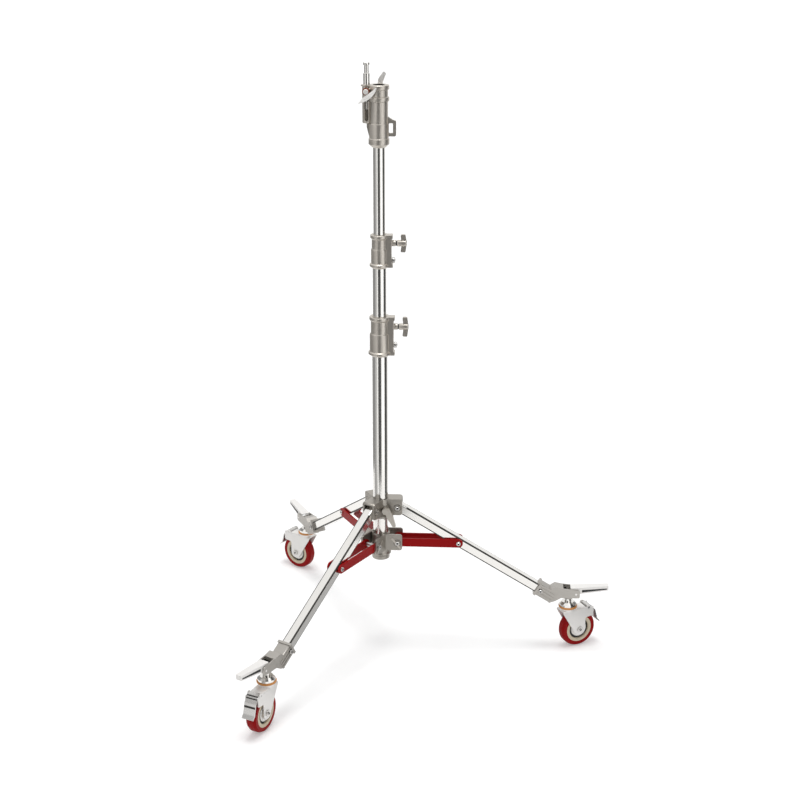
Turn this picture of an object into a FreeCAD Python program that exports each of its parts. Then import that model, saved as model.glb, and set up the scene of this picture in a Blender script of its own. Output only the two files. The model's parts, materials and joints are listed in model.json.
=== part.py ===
"""Wheeled light stand: three folding braced legs on swivelling braked casters, a telescopic column
of three tubes with clamp collars, and a receiver for large and small spigots.

+Z is up, the origin is on the floor under the column's axis and the first leg lies along +X. The
legs are spread, the braces are level and both risers are part way up.
"""

import FreeCAD, Part
import math
import os

import Sketcher

# Driving dimensions in millimetres.
SIZES = {
    # fits
    "running_gap": 0.3,
    "pin_fit": 0.05,
    "cut_overrun": 4.0,
    # column and risers
    "column_radius": 20.0,
    "column_wall": 2.0,
    "column_length": 611.0,
    "column_foot_drop": 41.0,
    "middle_play": 0.5,
    "middle_wall": 1.5,
    "middle_length": 620.0,
    "middle_insertion": 402.0,
    "upper_play": 1.0,
    "upper_wall": 1.5,
    "upper_length": 601.0,
    "upper_insertion": 305.0,
    "guide_length": 26.0,
    "guide_flange": 3.0,
    "foot_cap_step": 3.2,
    "foot_cap_height": 10.0,
    "foot_plug_length": 16.0,
    "foot_cap_rounding": 2.5,
    # telescope collars
    "column_collar_height": 102.5,
    "column_collar_overlap": 58.0,
    "column_collar_wall": 5.8,
    "column_collar_neck_wall": 5.3,
    "middle_collar_height": 84.0,
    "middle_collar_overlap": 48.0,
    "middle_collar_wall": 3.6,
    "middle_collar_neck_wall": 4.2,
    "collar_rim_step": 3.6,
    "collar_rim_height": 9.5,
    "collar_block_width": 24.0,
    "collar_block_reach": 9.1,
    "collar_block_lip": 3.0,
    "collar_boss_length": 2.0,
    "bush_height": 12.0,
    "bush_wall": 1.6,
    "bush_lip": 4.0,
    # clamp knobs
    "knob_screw_radius": 5.0,
    "knob_nut_radius": 8.0,
    "knob_nut_length": 8.0,
    "knob_neck_radius": 4.2,
    "knob_neck_length": 3.2,
    "knob_hub_radius": 8.2,
    "knob_hub_length": 24.0,
    "knob_hub_rounding": 3.0,
    "column_wing_span": 50.0,
    "middle_wing_span": 44.0,
    "wing_width": 15.5,
    "wing_thickness": 9.0,
    # receiver
    "receiver_length": 149.5,
    "receiver_socket": 45.0,
    "receiver_floor": 9.5,
    "receiver_radius": 22.6,
    "receiver_skirt_step": 1.2,
    "receiver_rim_step": 2.8,
    "receiver_rim_height": 10.5,
    "receiver_ring_drop": 33.5,
    "receiver_ring_width": 9.0,
    "receiver_step_rise": 57.0,
    "receiver_collar_height": 21.0,
    "spigot_bore_radius": 14.3,
    "loop_stand_out": 17.8,
    "loop_base_rise": 27.0,
    "loop_height": 39.0,
    "loop_rise": 10.0,
    "loop_thickness": 10.0,
    "loop_beam": 7.5,
    "holder_wall": 2.65,
    "holder_overlap": 4.0,
    "holder_base_rise": 58.0,
    "holder_floor": 5.0,
    "holder_rounding": 3.0,
    "holder_flange_step": 3.0,
    "holder_flange_height": 4.5,
    "holder_slot_width": 9.4,
    "holder_slot_drop": 33.5,
    "gusset_drop": 30.0,
    "gusset_thickness": 9.0,
    "boss_radius": 9.0,
    "boss_stand_out": 4.6,
    "clamp_boss_radius": 8.0,
    # receiver levers
    "receiver_lever_drop": 20.5,
    "receiver_lever_rise": 48.0,
    "receiver_lever_hub_length": 11.0,
    "pin_lever_drop": 13.5,
    "pin_lever_length": 34.0,
    "pin_lever_hub_length": 9.0,
    "lever_screw_radius": 4.0,
    "lever_blade_thickness": 6.0,
    # small spigot
    "spigot_radius": 7.95,
    "spigot_stand_out": 52.5,
    "spigot_head": 6.0,
    "spigot_neck_radius": 5.7,
    "spigot_neck_length": 20.0,
    "spigot_shank_drop": 34.5,
    "spigot_stud_radius": 4.75,
    "spigot_stud_length": 24.0,
    "spigot_chamfer": 1.0,
    # folding linkage
    "link_rise": 98.0,
    "brace_length": 161.0,
    "pivot_clearance": 2.5,
    "pivot_radius": 3.5,
    "bolt_head_radius": 5.5,
    "bolt_head_height": 3.6,
    "sleeve_radius": 6.0,
    # leg collars
    "hub_wall": 4.5,
    "slide_hub_drop": 29.0,
    "slide_hub_height": 52.0,
    "fixed_hub_drop": 40.0,
    "fixed_hub_height": 62.0,
    "hub_rim_step": 2.5,
    "hub_rim_height": 6.0,
    "ear_reach": 12.5,
    "ear_depth": 20.5,
    "ear_rise": 20.5,
    "ear_rounding": 7.0,
    "ear_thickness": 5.0,
    "hood_wall": 3.6,
    "hood_clearance": 0.6,
    "claw_pivot_offset": 14.0,
    "claw_pivot_drop": 2.0,
    "claw_boss_radius": 8.0,
    "claw_boss_stand_out": 3.0,
    "claw_hub_length": 12.0,
    "claw_length": 50.0,
    "claw_thickness": 9.0,
    # legs and leg ends
    "leg_width": 25.0,
    "leg_wall": 2.0,
    "leg_corner": 4.0,
    "leg_root": 13.0,
    "leg_length": 480.0,
    "leg_end_rise": 1.4,
    "socket_wall": 4.0,
    "socket_length": 47.0,
    "socket_end": 6.0,
    "socket_flange_length": 6.0,
    "socket_flange_step": 2.5,
    "socket_rib_step": 1.4,
    "socket_rib_width": 3.6,
    "socket_rounding": 2.0,
    "socket_bolt_inset": 35.0,
    "swivel_overhang": 45.0,
    "arm_rise": 32.0,
    "arm_height": 20.0,
    "arm_overhang": 30.0,
    "arm_floor": 5.0,
    "arm_recess_back": 14.0,
    "stem_boss_radius": 13.0,
    "stem_boss_height": 5.0,
    # leg-end levers
    "cheek_wall": 3.2,
    "lever_pin_offset": 20.0,
    "lever_pin_rise": 11.0,
    "lever_pin_radius": 3.0,
    "lever_rise": 27.0,
    "lever_tip_rise": 7.5,
    "lever_heel_reach": 15.0,
    "lever_reach": 85.0,
    "lever_tip_width": 17.0,
    "lever_root_depth": 20.0,
    "lever_tip_depth": 12.5,
    "lever_wall": 2.5,
    "lever_heel_height": 9.0,
    "lever_heel_length": 9.0,
    # braces
    "bar_height": 23.0,
    "bar_thickness": 4.5,
    "bar_gap": 2.0,
    "brace_head_radius": 6.0,
    "brace_head_height": 3.0,
    "brace_washer_radius": 7.5,
    # casters
    "stem_radius": 6.0,
    "stem_nut_radius": 9.0,
    "stem_nut_height": 6.0,
    "race_radius": 22.5,
    "race_height": 11.0,
    "ring_radius": 24.8,
    "ring_height": 5.5,
    "wheel_radius": 50.0,
    "wheel_width": 28.0,
    "wheel_headroom": 8.5,
    "tread_depth": 13.0,
    "tread_rounding": 6.0,
    "rim_depth": 7.0,
    "rim_inset": 0.5,
    "web_thickness": 10.0,
    "wheel_hub_radius": 13.0,
    "hub_stand_out": 1.0,
    "axle_radius": 5.0,
    "axle_head_radius": 8.0,
    "axle_head_height": 3.5,
    "caster_trail": 30.0,
    "fork_wall": 2.5,
    "fork_clearance": 2.0,
    "fork_crown": 3.0,
    "fork_bend": 4.0,
    "fork_cheek": 16.0,
    "fork_shoulder_drop": 29.5,
    "fork_tail_overhang": 15.0,
    "fork_rounding": 5.0,
    "lug_radius": 6.5,
    "pedal_pivot_reach": 25.0,
    "pedal_pivot_drop": 1.5,
    "pedal_pivot_radius": 3.0,
    "pedal_barrel_radius": 5.0,
    "pedal_reach": 38.0,
    "pedal_drop": 50.0,
    "pedal_clearance": 2.0,
}

LEGS = {"right": 0, "rear": 120, "front": 240}
CASTER_TURNS = {"right": 28, "rear": 27, "front": 7}

# An edge runs along a direction when its cosine with it is above this share.
PARALLEL_SHARE = 0.99999
# The clamp knobs' height, as a share of the way from the tube's end to the collar's top.
KNOB_HEIGHT_SHARE = 0.4
# Outlines in shares of one length: across, up and, where the corner is rounded, its radius.
RECEIVER_LEVER_SHARES = [
    (-0.16, -0.1, 0.08),
    (0.16, -0.1, 0.08),
    (0.15, 0.42, 0.3),
    (0.32, 0.88, 0.05),
    (0.2, 1.0, 0.05),
    (-0.08, 0.62, 0.4),
]
PIN_LEVER_SHARES = [
    (0.36, 0.32, 0.1),
    (0.6, 0.24, 0.06),
    (0.5, -0.36, 0.3),
    (-0.1, -0.66, 0.3),
    (-0.76, -0.86, 0.04),
    (-0.24, -0.1, 0.4),
]
CLAW_SHARES = [
    (-0.14, 0.16, 0.1),
    (0.2, 0.16, 0.12),
    (0.4, -0.26, 0.6),
    (0.56, -0.86, 0.05),
    (0.42, -0.94, 0.05),
    (0.1, -0.4, 0.4),
]
# The pedal's bent plate from its barrel out and back: shares of its reach and of its drop, and the
# radius of each bend as a share of the reach.
PEDAL_SHARES = [
    (0.0, 0.085),
    (0.2, 0.085, 0.16),
    (0.6, -0.26, 0.16),
    (0.8, -0.8, 0.16),
    (1.0, -0.96),
    (0.96, -1.0),
    (0.72, -0.86, 0.16),
    (0.52, -0.29, 0.16),
    (0.18, 0.02, 0.16),
    (0.0, 0.02),
]


class Size:
    """A length of the sheet, or a sum of such lengths: its number, and the expression that gives it."""

    def __init__(self, number, text):
        self.number = number
        self.text = text

    def __float__(self):
        return float(self.number)

    def __add__(self, other):
        return Size(float(self) + float(other), f"({self.text} + {text_of(other)})")

    def __sub__(self, other):
        return Size(float(self) - float(other), f"({self.text} - {text_of(other)})")

    def __mul__(self, share):
        return Size(float(self) * float(share), f"({self.text} * {text_of(share)})")

    def __truediv__(self, share):
        return Size(float(self) / float(share), f"({self.text} / {text_of(share)})")

    def __neg__(self):
        return Size(-float(self), f"(-{self.text})")

    __radd__ = __add__
    __rmul__ = __mul__


def text_of(amount):
    return amount.text if isinstance(amount, Size) else f"({amount})"


def diagonal(across, up):
    """The long side of a right triangle."""
    return Size(math.hypot(float(across), float(up)), f"hypot({across.text}; {up.text})")


class Sheet:
    """The driving dimensions as a spreadsheet of the document, and as attributes of this object."""

    def __init__(self, document, sizes):
        table = document.addObject("Spreadsheet::Sheet", "Sizes")
        for row, (alias, number) in enumerate(sizes.items(), start=1):
            table.set(f"A{row}", alias.replace("_", " "))
            table.set(f"B{row}", str(number))
            table.setAlias(f"B{row}", alias)
        document.recompute()
        for alias in sizes:
            setattr(self, alias, Size(float(table.get(alias)), f"Sizes.{alias}"))


document = FreeCAD.newDocument("wheeled_light_stand")
size = Sheet(document, SIZES)
nodes = {}


def turn_about(axis, angle):
    return FreeCAD.Rotation(FreeCAD.Vector(*axis), angle)


def place(x, y, z, axis=(0, 0, 1), angle=0):
    return FreeCAD.Placement(FreeCAD.Vector(float(x), float(y), float(z)), turn_about(axis, angle))


def put(piece, x=0, y=0, z=0, axis=(0, 0, 1), angle=0):
    """Sets a piece down at a point, turned about an axis through that point."""
    piece.Placement = place(x, y, z, axis, angle)
    return piece


def swing(piece, azimuth):
    """Turns a placed piece about the column's axis, to the leg that it belongs to."""
    piece.Placement = place(0, 0, 0, angle=azimuth).multiply(piece.Placement)
    return piece


def solid(kind, name, **lengths):
    """A primitive whose lengths are bound to the sheet."""
    piece = document.addObject(kind, name)
    for key, length in lengths.items():
        piece.setExpression(key, text_of(length))
    return piece


def block(name, length, width, height):
    return solid("Part::Box", name, Length=length, Width=width, Height=height)


def upright(name, radius, base, length, x=0):
    """A rod along Z."""
    return put(solid("Part::Cylinder", name, Radius=radius, Height=length), x=x, z=base)


def sideways(name, radius, length, z):
    """A rod along X from the column's axis."""
    return put(solid("Part::Cylinder", name, Radius=radius, Height=length), z=z, axis=(0, 1, 0), angle=90)


def crosswise(name, radius, start, length, x, z):
    """A rod along Y, from its start towards the front."""
    rod = solid("Part::Cylinder", name, Radius=radius, Height=length)
    return put(rod, x=x, y=start, z=z, axis=(1, 0, 0), angle=90)


def sketched(body, corners):
    """A closed outline of straight edges on the body's XZ plane, each corner bound to the sheet."""
    plane = next(item for item in body.Origin.OriginFeatures if item.Role == "XZ_Plane")
    sketch = body.newObject("Sketcher::SketchObject", f"{body.Name}_outline")
    sketch.AttachmentSupport = (plane, [""])
    sketch.MapMode = "FlatFace"
    spots = [FreeCAD.Vector(float(corner[0]), float(corner[1]), 0) for corner in corners]
    for index, spot in enumerate(spots):
        sketch.addGeometry(Part.LineSegment(spot, spots[(index + 1) % len(spots)]))
    for index in range(len(spots)):
        sketch.addConstraint(Sketcher.Constraint("Coincident", index, 2, (index + 1) % len(spots), 1))
    for index, corner in enumerate(corners):
        for kind, length in zip(("DistanceX", "DistanceY"), corner):
            limit = sketch.addConstraint(Sketcher.Constraint(kind, -1, 1, index, 1, float(length)))
            sketch.setExpression(f"Constraints[{limit}]", text_of(length))
    return sketch


def soften(body, corners, curve):
    """Rounds the edges that pass through the outline's rounded corners, one fillet for each radius."""
    radii = {}
    for corner in corners:
        if len(corner) == 3:
            radii.setdefault(corner[2].text, []).append(corner)
    for count, (radius, rounded) in enumerate(radii.items()):
        document.recompute()
        base = body.Tip
        spots = [Part.Vertex(float(across), 0, float(up)) for across, up, _ in rounded]
        edges = []
        for index, edge in enumerate(base.Shape.Edges, start=1):
            gap = min(edge.distToShape(spot)[0] for spot in spots)
            if isinstance(edge.Curve, curve) and gap < float(size.pin_fit):
                edges.append(f"Edge{index}")
        fillet = body.newObject("PartDesign::Fillet", f"{body.Name}_rounding_{count}")
        fillet.Base = (base, edges)
        fillet.setExpression("Radius", radius)


def turned(name, corners, about="V_Axis"):
    """A body turned from its half section. A corner is radius and height, or length and radius where
    the piece is turned about its length, with a rounding where it has one."""
    body = document.addObject("PartDesign::Body", name)
    sketch = sketched(body, corners)
    revolution = body.newObject("PartDesign::Revolution", f"{name}_turned")
    revolution.Profile = sketch
    revolution.ReferenceAxis = (sketch, [about])
    revolution.Angle = 360
    soften(body, corners, Part.Circle)
    return body


def plate(name, corners, thickness):
    """A body of even thickness, centred on the plane of its outline. A corner is across and up, with
    a rounding where it has one."""
    body = document.addObject("PartDesign::Body", name)
    sketch = sketched(body, corners)
    pad = body.newObject("PartDesign::Pad", f"{name}_pad")
    pad.Profile = sketch
    pad.SideType = "Symmetric"
    pad.setExpression("Length", text_of(thickness))
    soften(body, corners, Part.Line)
    return body


def fuse(name, pieces):
    whole = document.addObject("Part::MultiFuse", name)
    whole.Shapes = pieces
    whole.Refine = True
    return whole


def cut(name, base, tools):
    rest = document.addObject("Part::Cut", name)
    rest.Base = base
    rest.Tool = tools[0] if len(tools) == 1 else fuse(f"{name}_tools", tools)
    rest.Refine = True
    return rest


def group(name, pieces):
    """Like pieces that share one node as separate solids."""
    together = document.addObject("Part::Compound", name)
    together.Links = pieces
    return together


def rounded(name, base, radius, along, above=None):
    """The base with its straight edges along a direction rounded, or only those above a height."""
    document.recompute()
    direction = FreeCAD.Vector(*along)
    chosen = []
    for index, edge in enumerate(base.Shape.Edges, start=1):
        straight = isinstance(edge.Curve, Part.Line)
        along_it = straight and abs(edge.Curve.Direction * direction) > PARALLEL_SHARE
        if along_it and (above is None or edge.CenterOfMass.z > float(above)):
            chosen.append((index, float(radius), float(radius)))
    soft = document.addObject("Part::Fillet", name)
    soft.Base = base
    soft.Edges = chosen
    return soft


def publish(piece, node):
    piece.Label = node
    nodes[node] = piece


# Places that several pieces share. Heights are built up from the floor: caster, leg end, the leg's
# own fall, the two rows of pivots, then the column and its risers.
CROWN_BASE = size.wheel_radius * 2 + size.wheel_headroom
CROWN_TOP = CROWN_BASE + size.fork_crown
SWIVEL_HEIGHT = CROWN_TOP + size.race_height / 2
ARM_BASE = SWIVEL_HEIGHT + size.arm_rise
ARM_TOP = ARM_BASE + size.arm_height
STEM_FLANGE = ARM_BASE - size.stem_boss_height
HUB_RADIUS = size.column_radius + size.hub_wall
LEG_SWEEP = diagonal(size.leg_root, size.leg_width / 2)
PIVOT_OFFSET = HUB_RADIUS + LEG_SWEEP + size.pivot_clearance
LINK = diagonal(size.brace_length, size.link_rise)
LEG_DROP = math.degrees(math.atan2(float(size.link_rise), float(size.brace_length)))
LEG_PIVOT_HEIGHT = ARM_BASE + size.leg_end_rise + size.leg_length * (size.link_rise / LINK)
BRACE_PIVOT_HEIGHT = LEG_PIVOT_HEIGHT - size.link_rise
SWIVEL_REACH = PIVOT_OFFSET + size.leg_length * (size.brace_length / LINK) + size.swivel_overhang
COLUMN_BASE = BRACE_PIVOT_HEIGHT - size.column_foot_drop
COLUMN_TOP = COLUMN_BASE + size.column_length
MIDDLE_RADIUS = size.column_radius - size.column_wall - size.middle_play
MIDDLE_BASE = COLUMN_TOP - size.middle_insertion
MIDDLE_TOP = MIDDLE_BASE + size.middle_length
UPPER_RADIUS = MIDDLE_RADIUS - size.middle_wall - size.upper_play
UPPER_BASE = MIDDLE_TOP - size.upper_insertion
UPPER_TOP = UPPER_BASE + size.upper_length

# The receiver and what it carries.
RECEIVER_BASE = UPPER_TOP - size.receiver_socket
RECEIVER_TOP = RECEIVER_BASE + size.receiver_length
RECEIVER_SKIRT = size.receiver_radius + size.receiver_skirt_step
RECEIVER_RIM = size.receiver_radius + size.receiver_rim_step
SPIGOT_BORE_DEPTH = size.receiver_length - size.receiver_socket - size.receiver_floor
LOOP_REACH = RECEIVER_SKIRT + size.loop_stand_out
LOOP_BASE = RECEIVER_BASE + size.loop_base_rise
LOOP_TOP = LOOP_BASE + size.loop_height
HOLDER_RADIUS = size.spigot_radius + size.holder_wall
HOLDER_OFFSET = size.receiver_radius + HOLDER_RADIUS - size.holder_overlap
HOLDER_BASE = RECEIVER_BASE + size.holder_base_rise
BOSS_REACH = RECEIVER_RIM + size.boss_stand_out
PIN_LEVER_SEAT = RECEIVER_RIM + size.running_gap + size.lever_blade_thickness - size.pin_lever_hub_length
CLAMP_BOSS_REACH = PIN_LEVER_SEAT - size.running_gap
RECEIVER_LEVER_HEIGHT = RECEIVER_TOP - size.receiver_lever_drop
PIN_LEVER_HEIGHT = RECEIVER_TOP - size.pin_lever_drop

# Ears, braces, leg ends and casters.
EAR_END = PIVOT_OFFSET + size.ear_reach
BAR_INNER = size.leg_width / 2 + size.bar_gap
BAR_OUTER = BAR_INNER + size.bar_thickness
FIXED_EAR_INNER = BAR_OUTER + size.running_gap
FIXED_EAR_OUTER = FIXED_EAR_INNER + size.ear_thickness
SLIDE_EAR_INNER = size.leg_width / 2 + size.running_gap
SLIDE_EAR_OUTER = SLIDE_EAR_INNER + size.ear_thickness
CLAW_PIVOT_HEIGHT = LEG_PIVOT_HEIGHT - size.claw_pivot_drop
CLAW_BOSS_REACH = HUB_RADIUS + size.claw_boss_stand_out
SOCKET_HALF = size.leg_width / 2 + size.socket_wall
SOCKET_START = size.leg_length - size.socket_length
ARM_WIDTH = SOCKET_HALF * 2
LEVER_PIN_HEIGHT = ARM_BASE + size.lever_pin_rise
LEVER_TOP = ARM_BASE + size.lever_rise
LEVER_HEEL = SWIVEL_REACH + size.lever_pin_offset - size.lever_heel_reach
LEVER_ROOT_WIDTH = ARM_WIDTH - size.cheek_wall * 2 - size.running_gap * 2
FORK_INNER = size.wheel_width / 2 + size.fork_clearance
FORK_OUTER = FORK_INNER + size.fork_wall
PEDAL_WIDTH = (FORK_INNER - size.running_gap) * 2
PEDAL_PIVOT_OFFSET = size.caster_trail + size.pedal_pivot_reach
PEDAL_PIVOT_HEIGHT = CROWN_TOP - size.pedal_pivot_drop
FORK_TAIL = PEDAL_PIVOT_OFFSET + size.fork_tail_overhang


def make_tube(node, radius, wall, base, top):
    bore = radius - wall
    publish(turned(node, [(bore, base), (radius, base), (radius, top), (bore, top)]), node)


def make_guide(node, socket, bore, base):
    """A plastic guide on a riser's foot: a plug inside the riser, and a flange that runs in the tube
    around it."""
    core = bore - size.guide_flange
    section = [
        (core, base - size.guide_flange),
        (socket - size.pin_fit, base - size.guide_flange),
        (socket - size.pin_fit, base),
        (bore, base),
        (bore, base + size.guide_length),
        (core, base + size.guide_length),
    ]
    publish(turned(node, section), node)


def make_telescope_collar(name, tube, riser, wall, neck_wall, tube_top, overlap, height):
    """A cast collar on a tube's upper end: a skirt round the tube, a neck round the riser, a rim at
    each end and a clamp block down one side. A plastic bush lines its mouth."""
    base = tube_top - overlap
    top = base + height
    skirt = tube + wall
    neck = riser + neck_wall
    step = size.collar_rim_step
    rim = skirt + step
    crown = neck + step
    rim_height = size.collar_rim_height
    shell = turned(
        f"{name}_collar_shell",
        [
            (0, base),
            (tube + wall / 2, base),
            (rim, base + rim_height / 2),
            (rim, base + rim_height),
            (skirt, base + rim_height * 1.3),
            (skirt, tube_top - step / 2),
            (neck, tube_top + step / 2),
            (neck, top - rim_height * 1.2),
            (crown, top - rim_height * 0.8),
            (crown, top - step / 3),
            (crown - step / 3, top),
            (0, top),
        ],
    )
    seat = skirt + size.collar_block_reach
    lip = seat + size.collar_block_lip
    side = plate(
        f"{name}_collar_block",
        [
            (0, base + rim_height / 4),
            (lip, base + rim_height / 4),
            (lip, base + rim_height),
            (seat, base + rim_height * 1.3),
            (seat, top - rim_height * 1.2),
            (lip, top - rim_height * 0.8),
            (lip, top),
            (0, top),
        ],
        size.collar_block_width,
    )
    knob_height = tube_top + (top - tube_top) * KNOB_HEIGHT_SHARE
    boss = sideways(f"{name}_collar_boss", size.knob_nut_radius, seat + size.collar_boss_length, knob_height)
    bore = riser + size.running_gap
    over = size.cut_overrun
    pocket_base = top - size.bush_lip - size.bush_height
    tools = [
        upright(f"{name}_collar_socket", tube + size.pin_fit, base - over, overlap + over),
        upright(f"{name}_collar_bore", bore, base - over, height + over * 2),
        upright(f"{name}_collar_pocket", bore + size.bush_wall, pocket_base, size.bush_height),
        sideways(f"{name}_collar_screw_hole", size.knob_screw_radius + size.pin_fit, lip * 2, knob_height),
    ]
    whole = fuse(f"{name}_collar_whole", [shell, side, boss])
    publish(cut(f"{name}_collar", whole, tools), f"{name}_collar")
    pocket_top = pocket_base + size.bush_height
    make_tube(f"{name}_bush", bore + size.bush_wall, size.bush_wall, pocket_base, pocket_top)


def make_clamp_knob(node, tube, riser, wall, tube_top, collar_top, span):
    """A wing knob with its lock nut and screw, turned about its length."""
    tip = riser + size.running_gap
    seat = tube + wall + size.collar_block_reach + size.collar_boss_length + size.running_gap
    nut_end = seat + size.knob_nut_length
    hub = nut_end + size.knob_neck_length
    end = hub + size.knob_hub_length
    stem = turned(
        f"{node}_stem",
        [
            (tip, 0),
            (tip, size.knob_screw_radius),
            (seat, size.knob_screw_radius),
            (seat, size.knob_nut_radius),
            (nut_end, size.knob_nut_radius),
            (nut_end, size.knob_neck_radius),
            (hub, size.knob_neck_radius),
            (hub, size.knob_hub_radius),
            (end, size.knob_hub_radius, size.knob_hub_rounding),
            (end, 0),
        ],
        about="H_Axis",
    )
    back = end - size.wing_width
    half = span / 2
    corner = size.wing_width / 5
    wing = plate(
        f"{node}_wing",
        [
            (back, -half, corner),
            (end - corner, -half, corner),
            (end, 0),
            (end - corner, half, corner),
            (back, half, corner),
            (back + corner, 0),
        ],
        size.wing_thickness,
    )
    knob_height = tube_top + (collar_top - tube_top) * KNOB_HEIGHT_SHARE
    publish(put(fuse(node, [stem, wing]), z=knob_height), node)


def make_column():
    make_tube("lower_column", size.column_radius, size.column_wall, COLUMN_BASE, COLUMN_TOP)
    plug = size.column_radius - size.column_wall - size.pin_fit
    ring = size.column_radius + size.foot_cap_step
    base = COLUMN_BASE - size.foot_cap_height
    plug_top = COLUMN_BASE + size.foot_plug_length
    cap = turned(
        "column_foot_cap",
        [
            (0, base),
            (ring, base, size.foot_cap_rounding),
            (ring, COLUMN_BASE),
            (plug, COLUMN_BASE),
            (plug, plug_top),
            (0, plug_top),
        ],
    )
    publish(cap, "column_foot_cap")
    make_telescope_collar(
        "column",
        tube=size.column_radius,
        riser=MIDDLE_RADIUS,
        wall=size.column_collar_wall,
        neck_wall=size.column_collar_neck_wall,
        tube_top=COLUMN_TOP,
        overlap=size.column_collar_overlap,
        height=size.column_collar_height,
    )
    make_clamp_knob(
        "column_knob",
        tube=size.column_radius,
        riser=MIDDLE_RADIUS,
        wall=size.column_collar_wall,
        tube_top=COLUMN_TOP,
        collar_top=COLUMN_TOP - size.column_collar_overlap + size.column_collar_height,
        span=size.column_wing_span,
    )


def make_risers():
    make_tube("middle_riser", MIDDLE_RADIUS, size.middle_wall, MIDDLE_BASE, MIDDLE_TOP)
    middle_bore = MIDDLE_RADIUS - size.middle_wall
    make_guide("middle_guide", size.column_radius - size.column_wall, middle_bore, MIDDLE_BASE)
    make_telescope_collar(
        "middle",
        tube=MIDDLE_RADIUS,
        riser=UPPER_RADIUS,
        wall=size.middle_collar_wall,
        neck_wall=size.middle_collar_neck_wall,
        tube_top=MIDDLE_TOP,
        overlap=size.middle_collar_overlap,
        height=size.middle_collar_height,
    )
    make_clamp_knob(
        "middle_knob",
        tube=MIDDLE_RADIUS,
        riser=UPPER_RADIUS,
        wall=size.middle_collar_wall,
        tube_top=MIDDLE_TOP,
        collar_top=MIDDLE_TOP - size.middle_collar_overlap + size.middle_collar_height,
        span=size.middle_wing_span,
    )
    make_tube("upper_riser", UPPER_RADIUS, size.upper_wall, UPPER_BASE, UPPER_TOP)
    make_guide("upper_guide", middle_bore, UPPER_RADIUS - size.upper_wall, UPPER_BASE)


def receiver_body():
    """The turned body with its raised bands."""
    radius = size.receiver_radius
    skirt = RECEIVER_SKIRT
    rim = RECEIVER_RIM
    slope = (rim - radius) / 2
    band_base = RECEIVER_TOP - size.receiver_ring_drop - size.receiver_ring_width / 2
    band_top = band_base + size.receiver_ring_width
    rim_base = RECEIVER_TOP - size.receiver_rim_height
    collar_top = RECEIVER_BASE + size.receiver_collar_height
    step = RECEIVER_BASE + size.receiver_step_rise
    return turned(
        "receiver_body",
        [
            (0, RECEIVER_BASE),
            (UPPER_RADIUS + slope, RECEIVER_BASE),
            (rim, RECEIVER_BASE + size.receiver_collar_height * 0.4),
            (rim, collar_top),
            (skirt, collar_top + slope),
            (skirt, step),
            (radius, step + slope),
            (radius, band_base - slope),
            (rim, band_base),
            (rim, band_top),
            (radius, band_top + slope),
            (radius, rim_base - slope),
            (rim, rim_base),
            (rim, RECEIVER_TOP - slope),
            (rim - slope, RECEIVER_TOP),
            (0, RECEIVER_TOP),
        ],
    )


def receiver_loop():
    """The carrying loop on the receiver's right, with a rib that slopes up to the body."""
    root = size.spigot_bore_radius + size.hub_wall
    beam = size.loop_beam
    loop = plate(
        "receiver_loop_plate",
        [
            (root, LOOP_BASE),
            (LOOP_REACH, LOOP_BASE, beam / 2),
            (LOOP_REACH, LOOP_TOP - beam / 4, beam / 2),
            (LOOP_REACH - beam, LOOP_TOP),
            (root, LOOP_TOP + size.loop_rise),
        ],
        size.loop_thickness,
    )
    inner = RECEIVER_SKIRT + size.running_gap
    gap_height = LOOP_TOP - LOOP_BASE - beam * 2
    gap = block("receiver_loop_gap", LOOP_REACH - beam - inner, size.loop_thickness * 2, gap_height)
    put(gap, x=inner, y=-size.loop_thickness, z=LOOP_BASE + beam)
    opening = rounded("receiver_loop_opening", gap, beam / 4, (0, 1, 0))
    return cut("receiver_loop", loop, [opening])


def receiver_holder():
    """The small spigot's holder on the receiver's left, with the gusset under it."""
    flange = HOLDER_RADIUS + size.holder_flange_step
    holder = turned(
        "receiver_holder",
        [
            (0, HOLDER_BASE),
            (HOLDER_RADIUS, HOLDER_BASE, size.holder_rounding),
            (HOLDER_RADIUS, RECEIVER_TOP - size.holder_flange_height),
            (flange, RECEIVER_TOP - size.holder_flange_height * 0.6),
            (flange, RECEIVER_TOP),
            (0, RECEIVER_TOP),
        ],
    )
    put(holder, x=-HOLDER_OFFSET)
    root = -(size.spigot_bore_radius + size.hub_wall)
    gusset = plate(
        "receiver_gusset",
        [
            (-HOLDER_OFFSET, HOLDER_BASE + size.holder_floor),
            (-HOLDER_OFFSET, HOLDER_BASE - size.gusset_drop * 0.3),
            (-RECEIVER_SKIRT, HOLDER_BASE - size.gusset_drop),
            (root, HOLDER_BASE - size.gusset_drop),
            (root, HOLDER_BASE + size.holder_floor),
        ],
        size.gusset_thickness,
    )
    return [holder, gusset]


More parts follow.
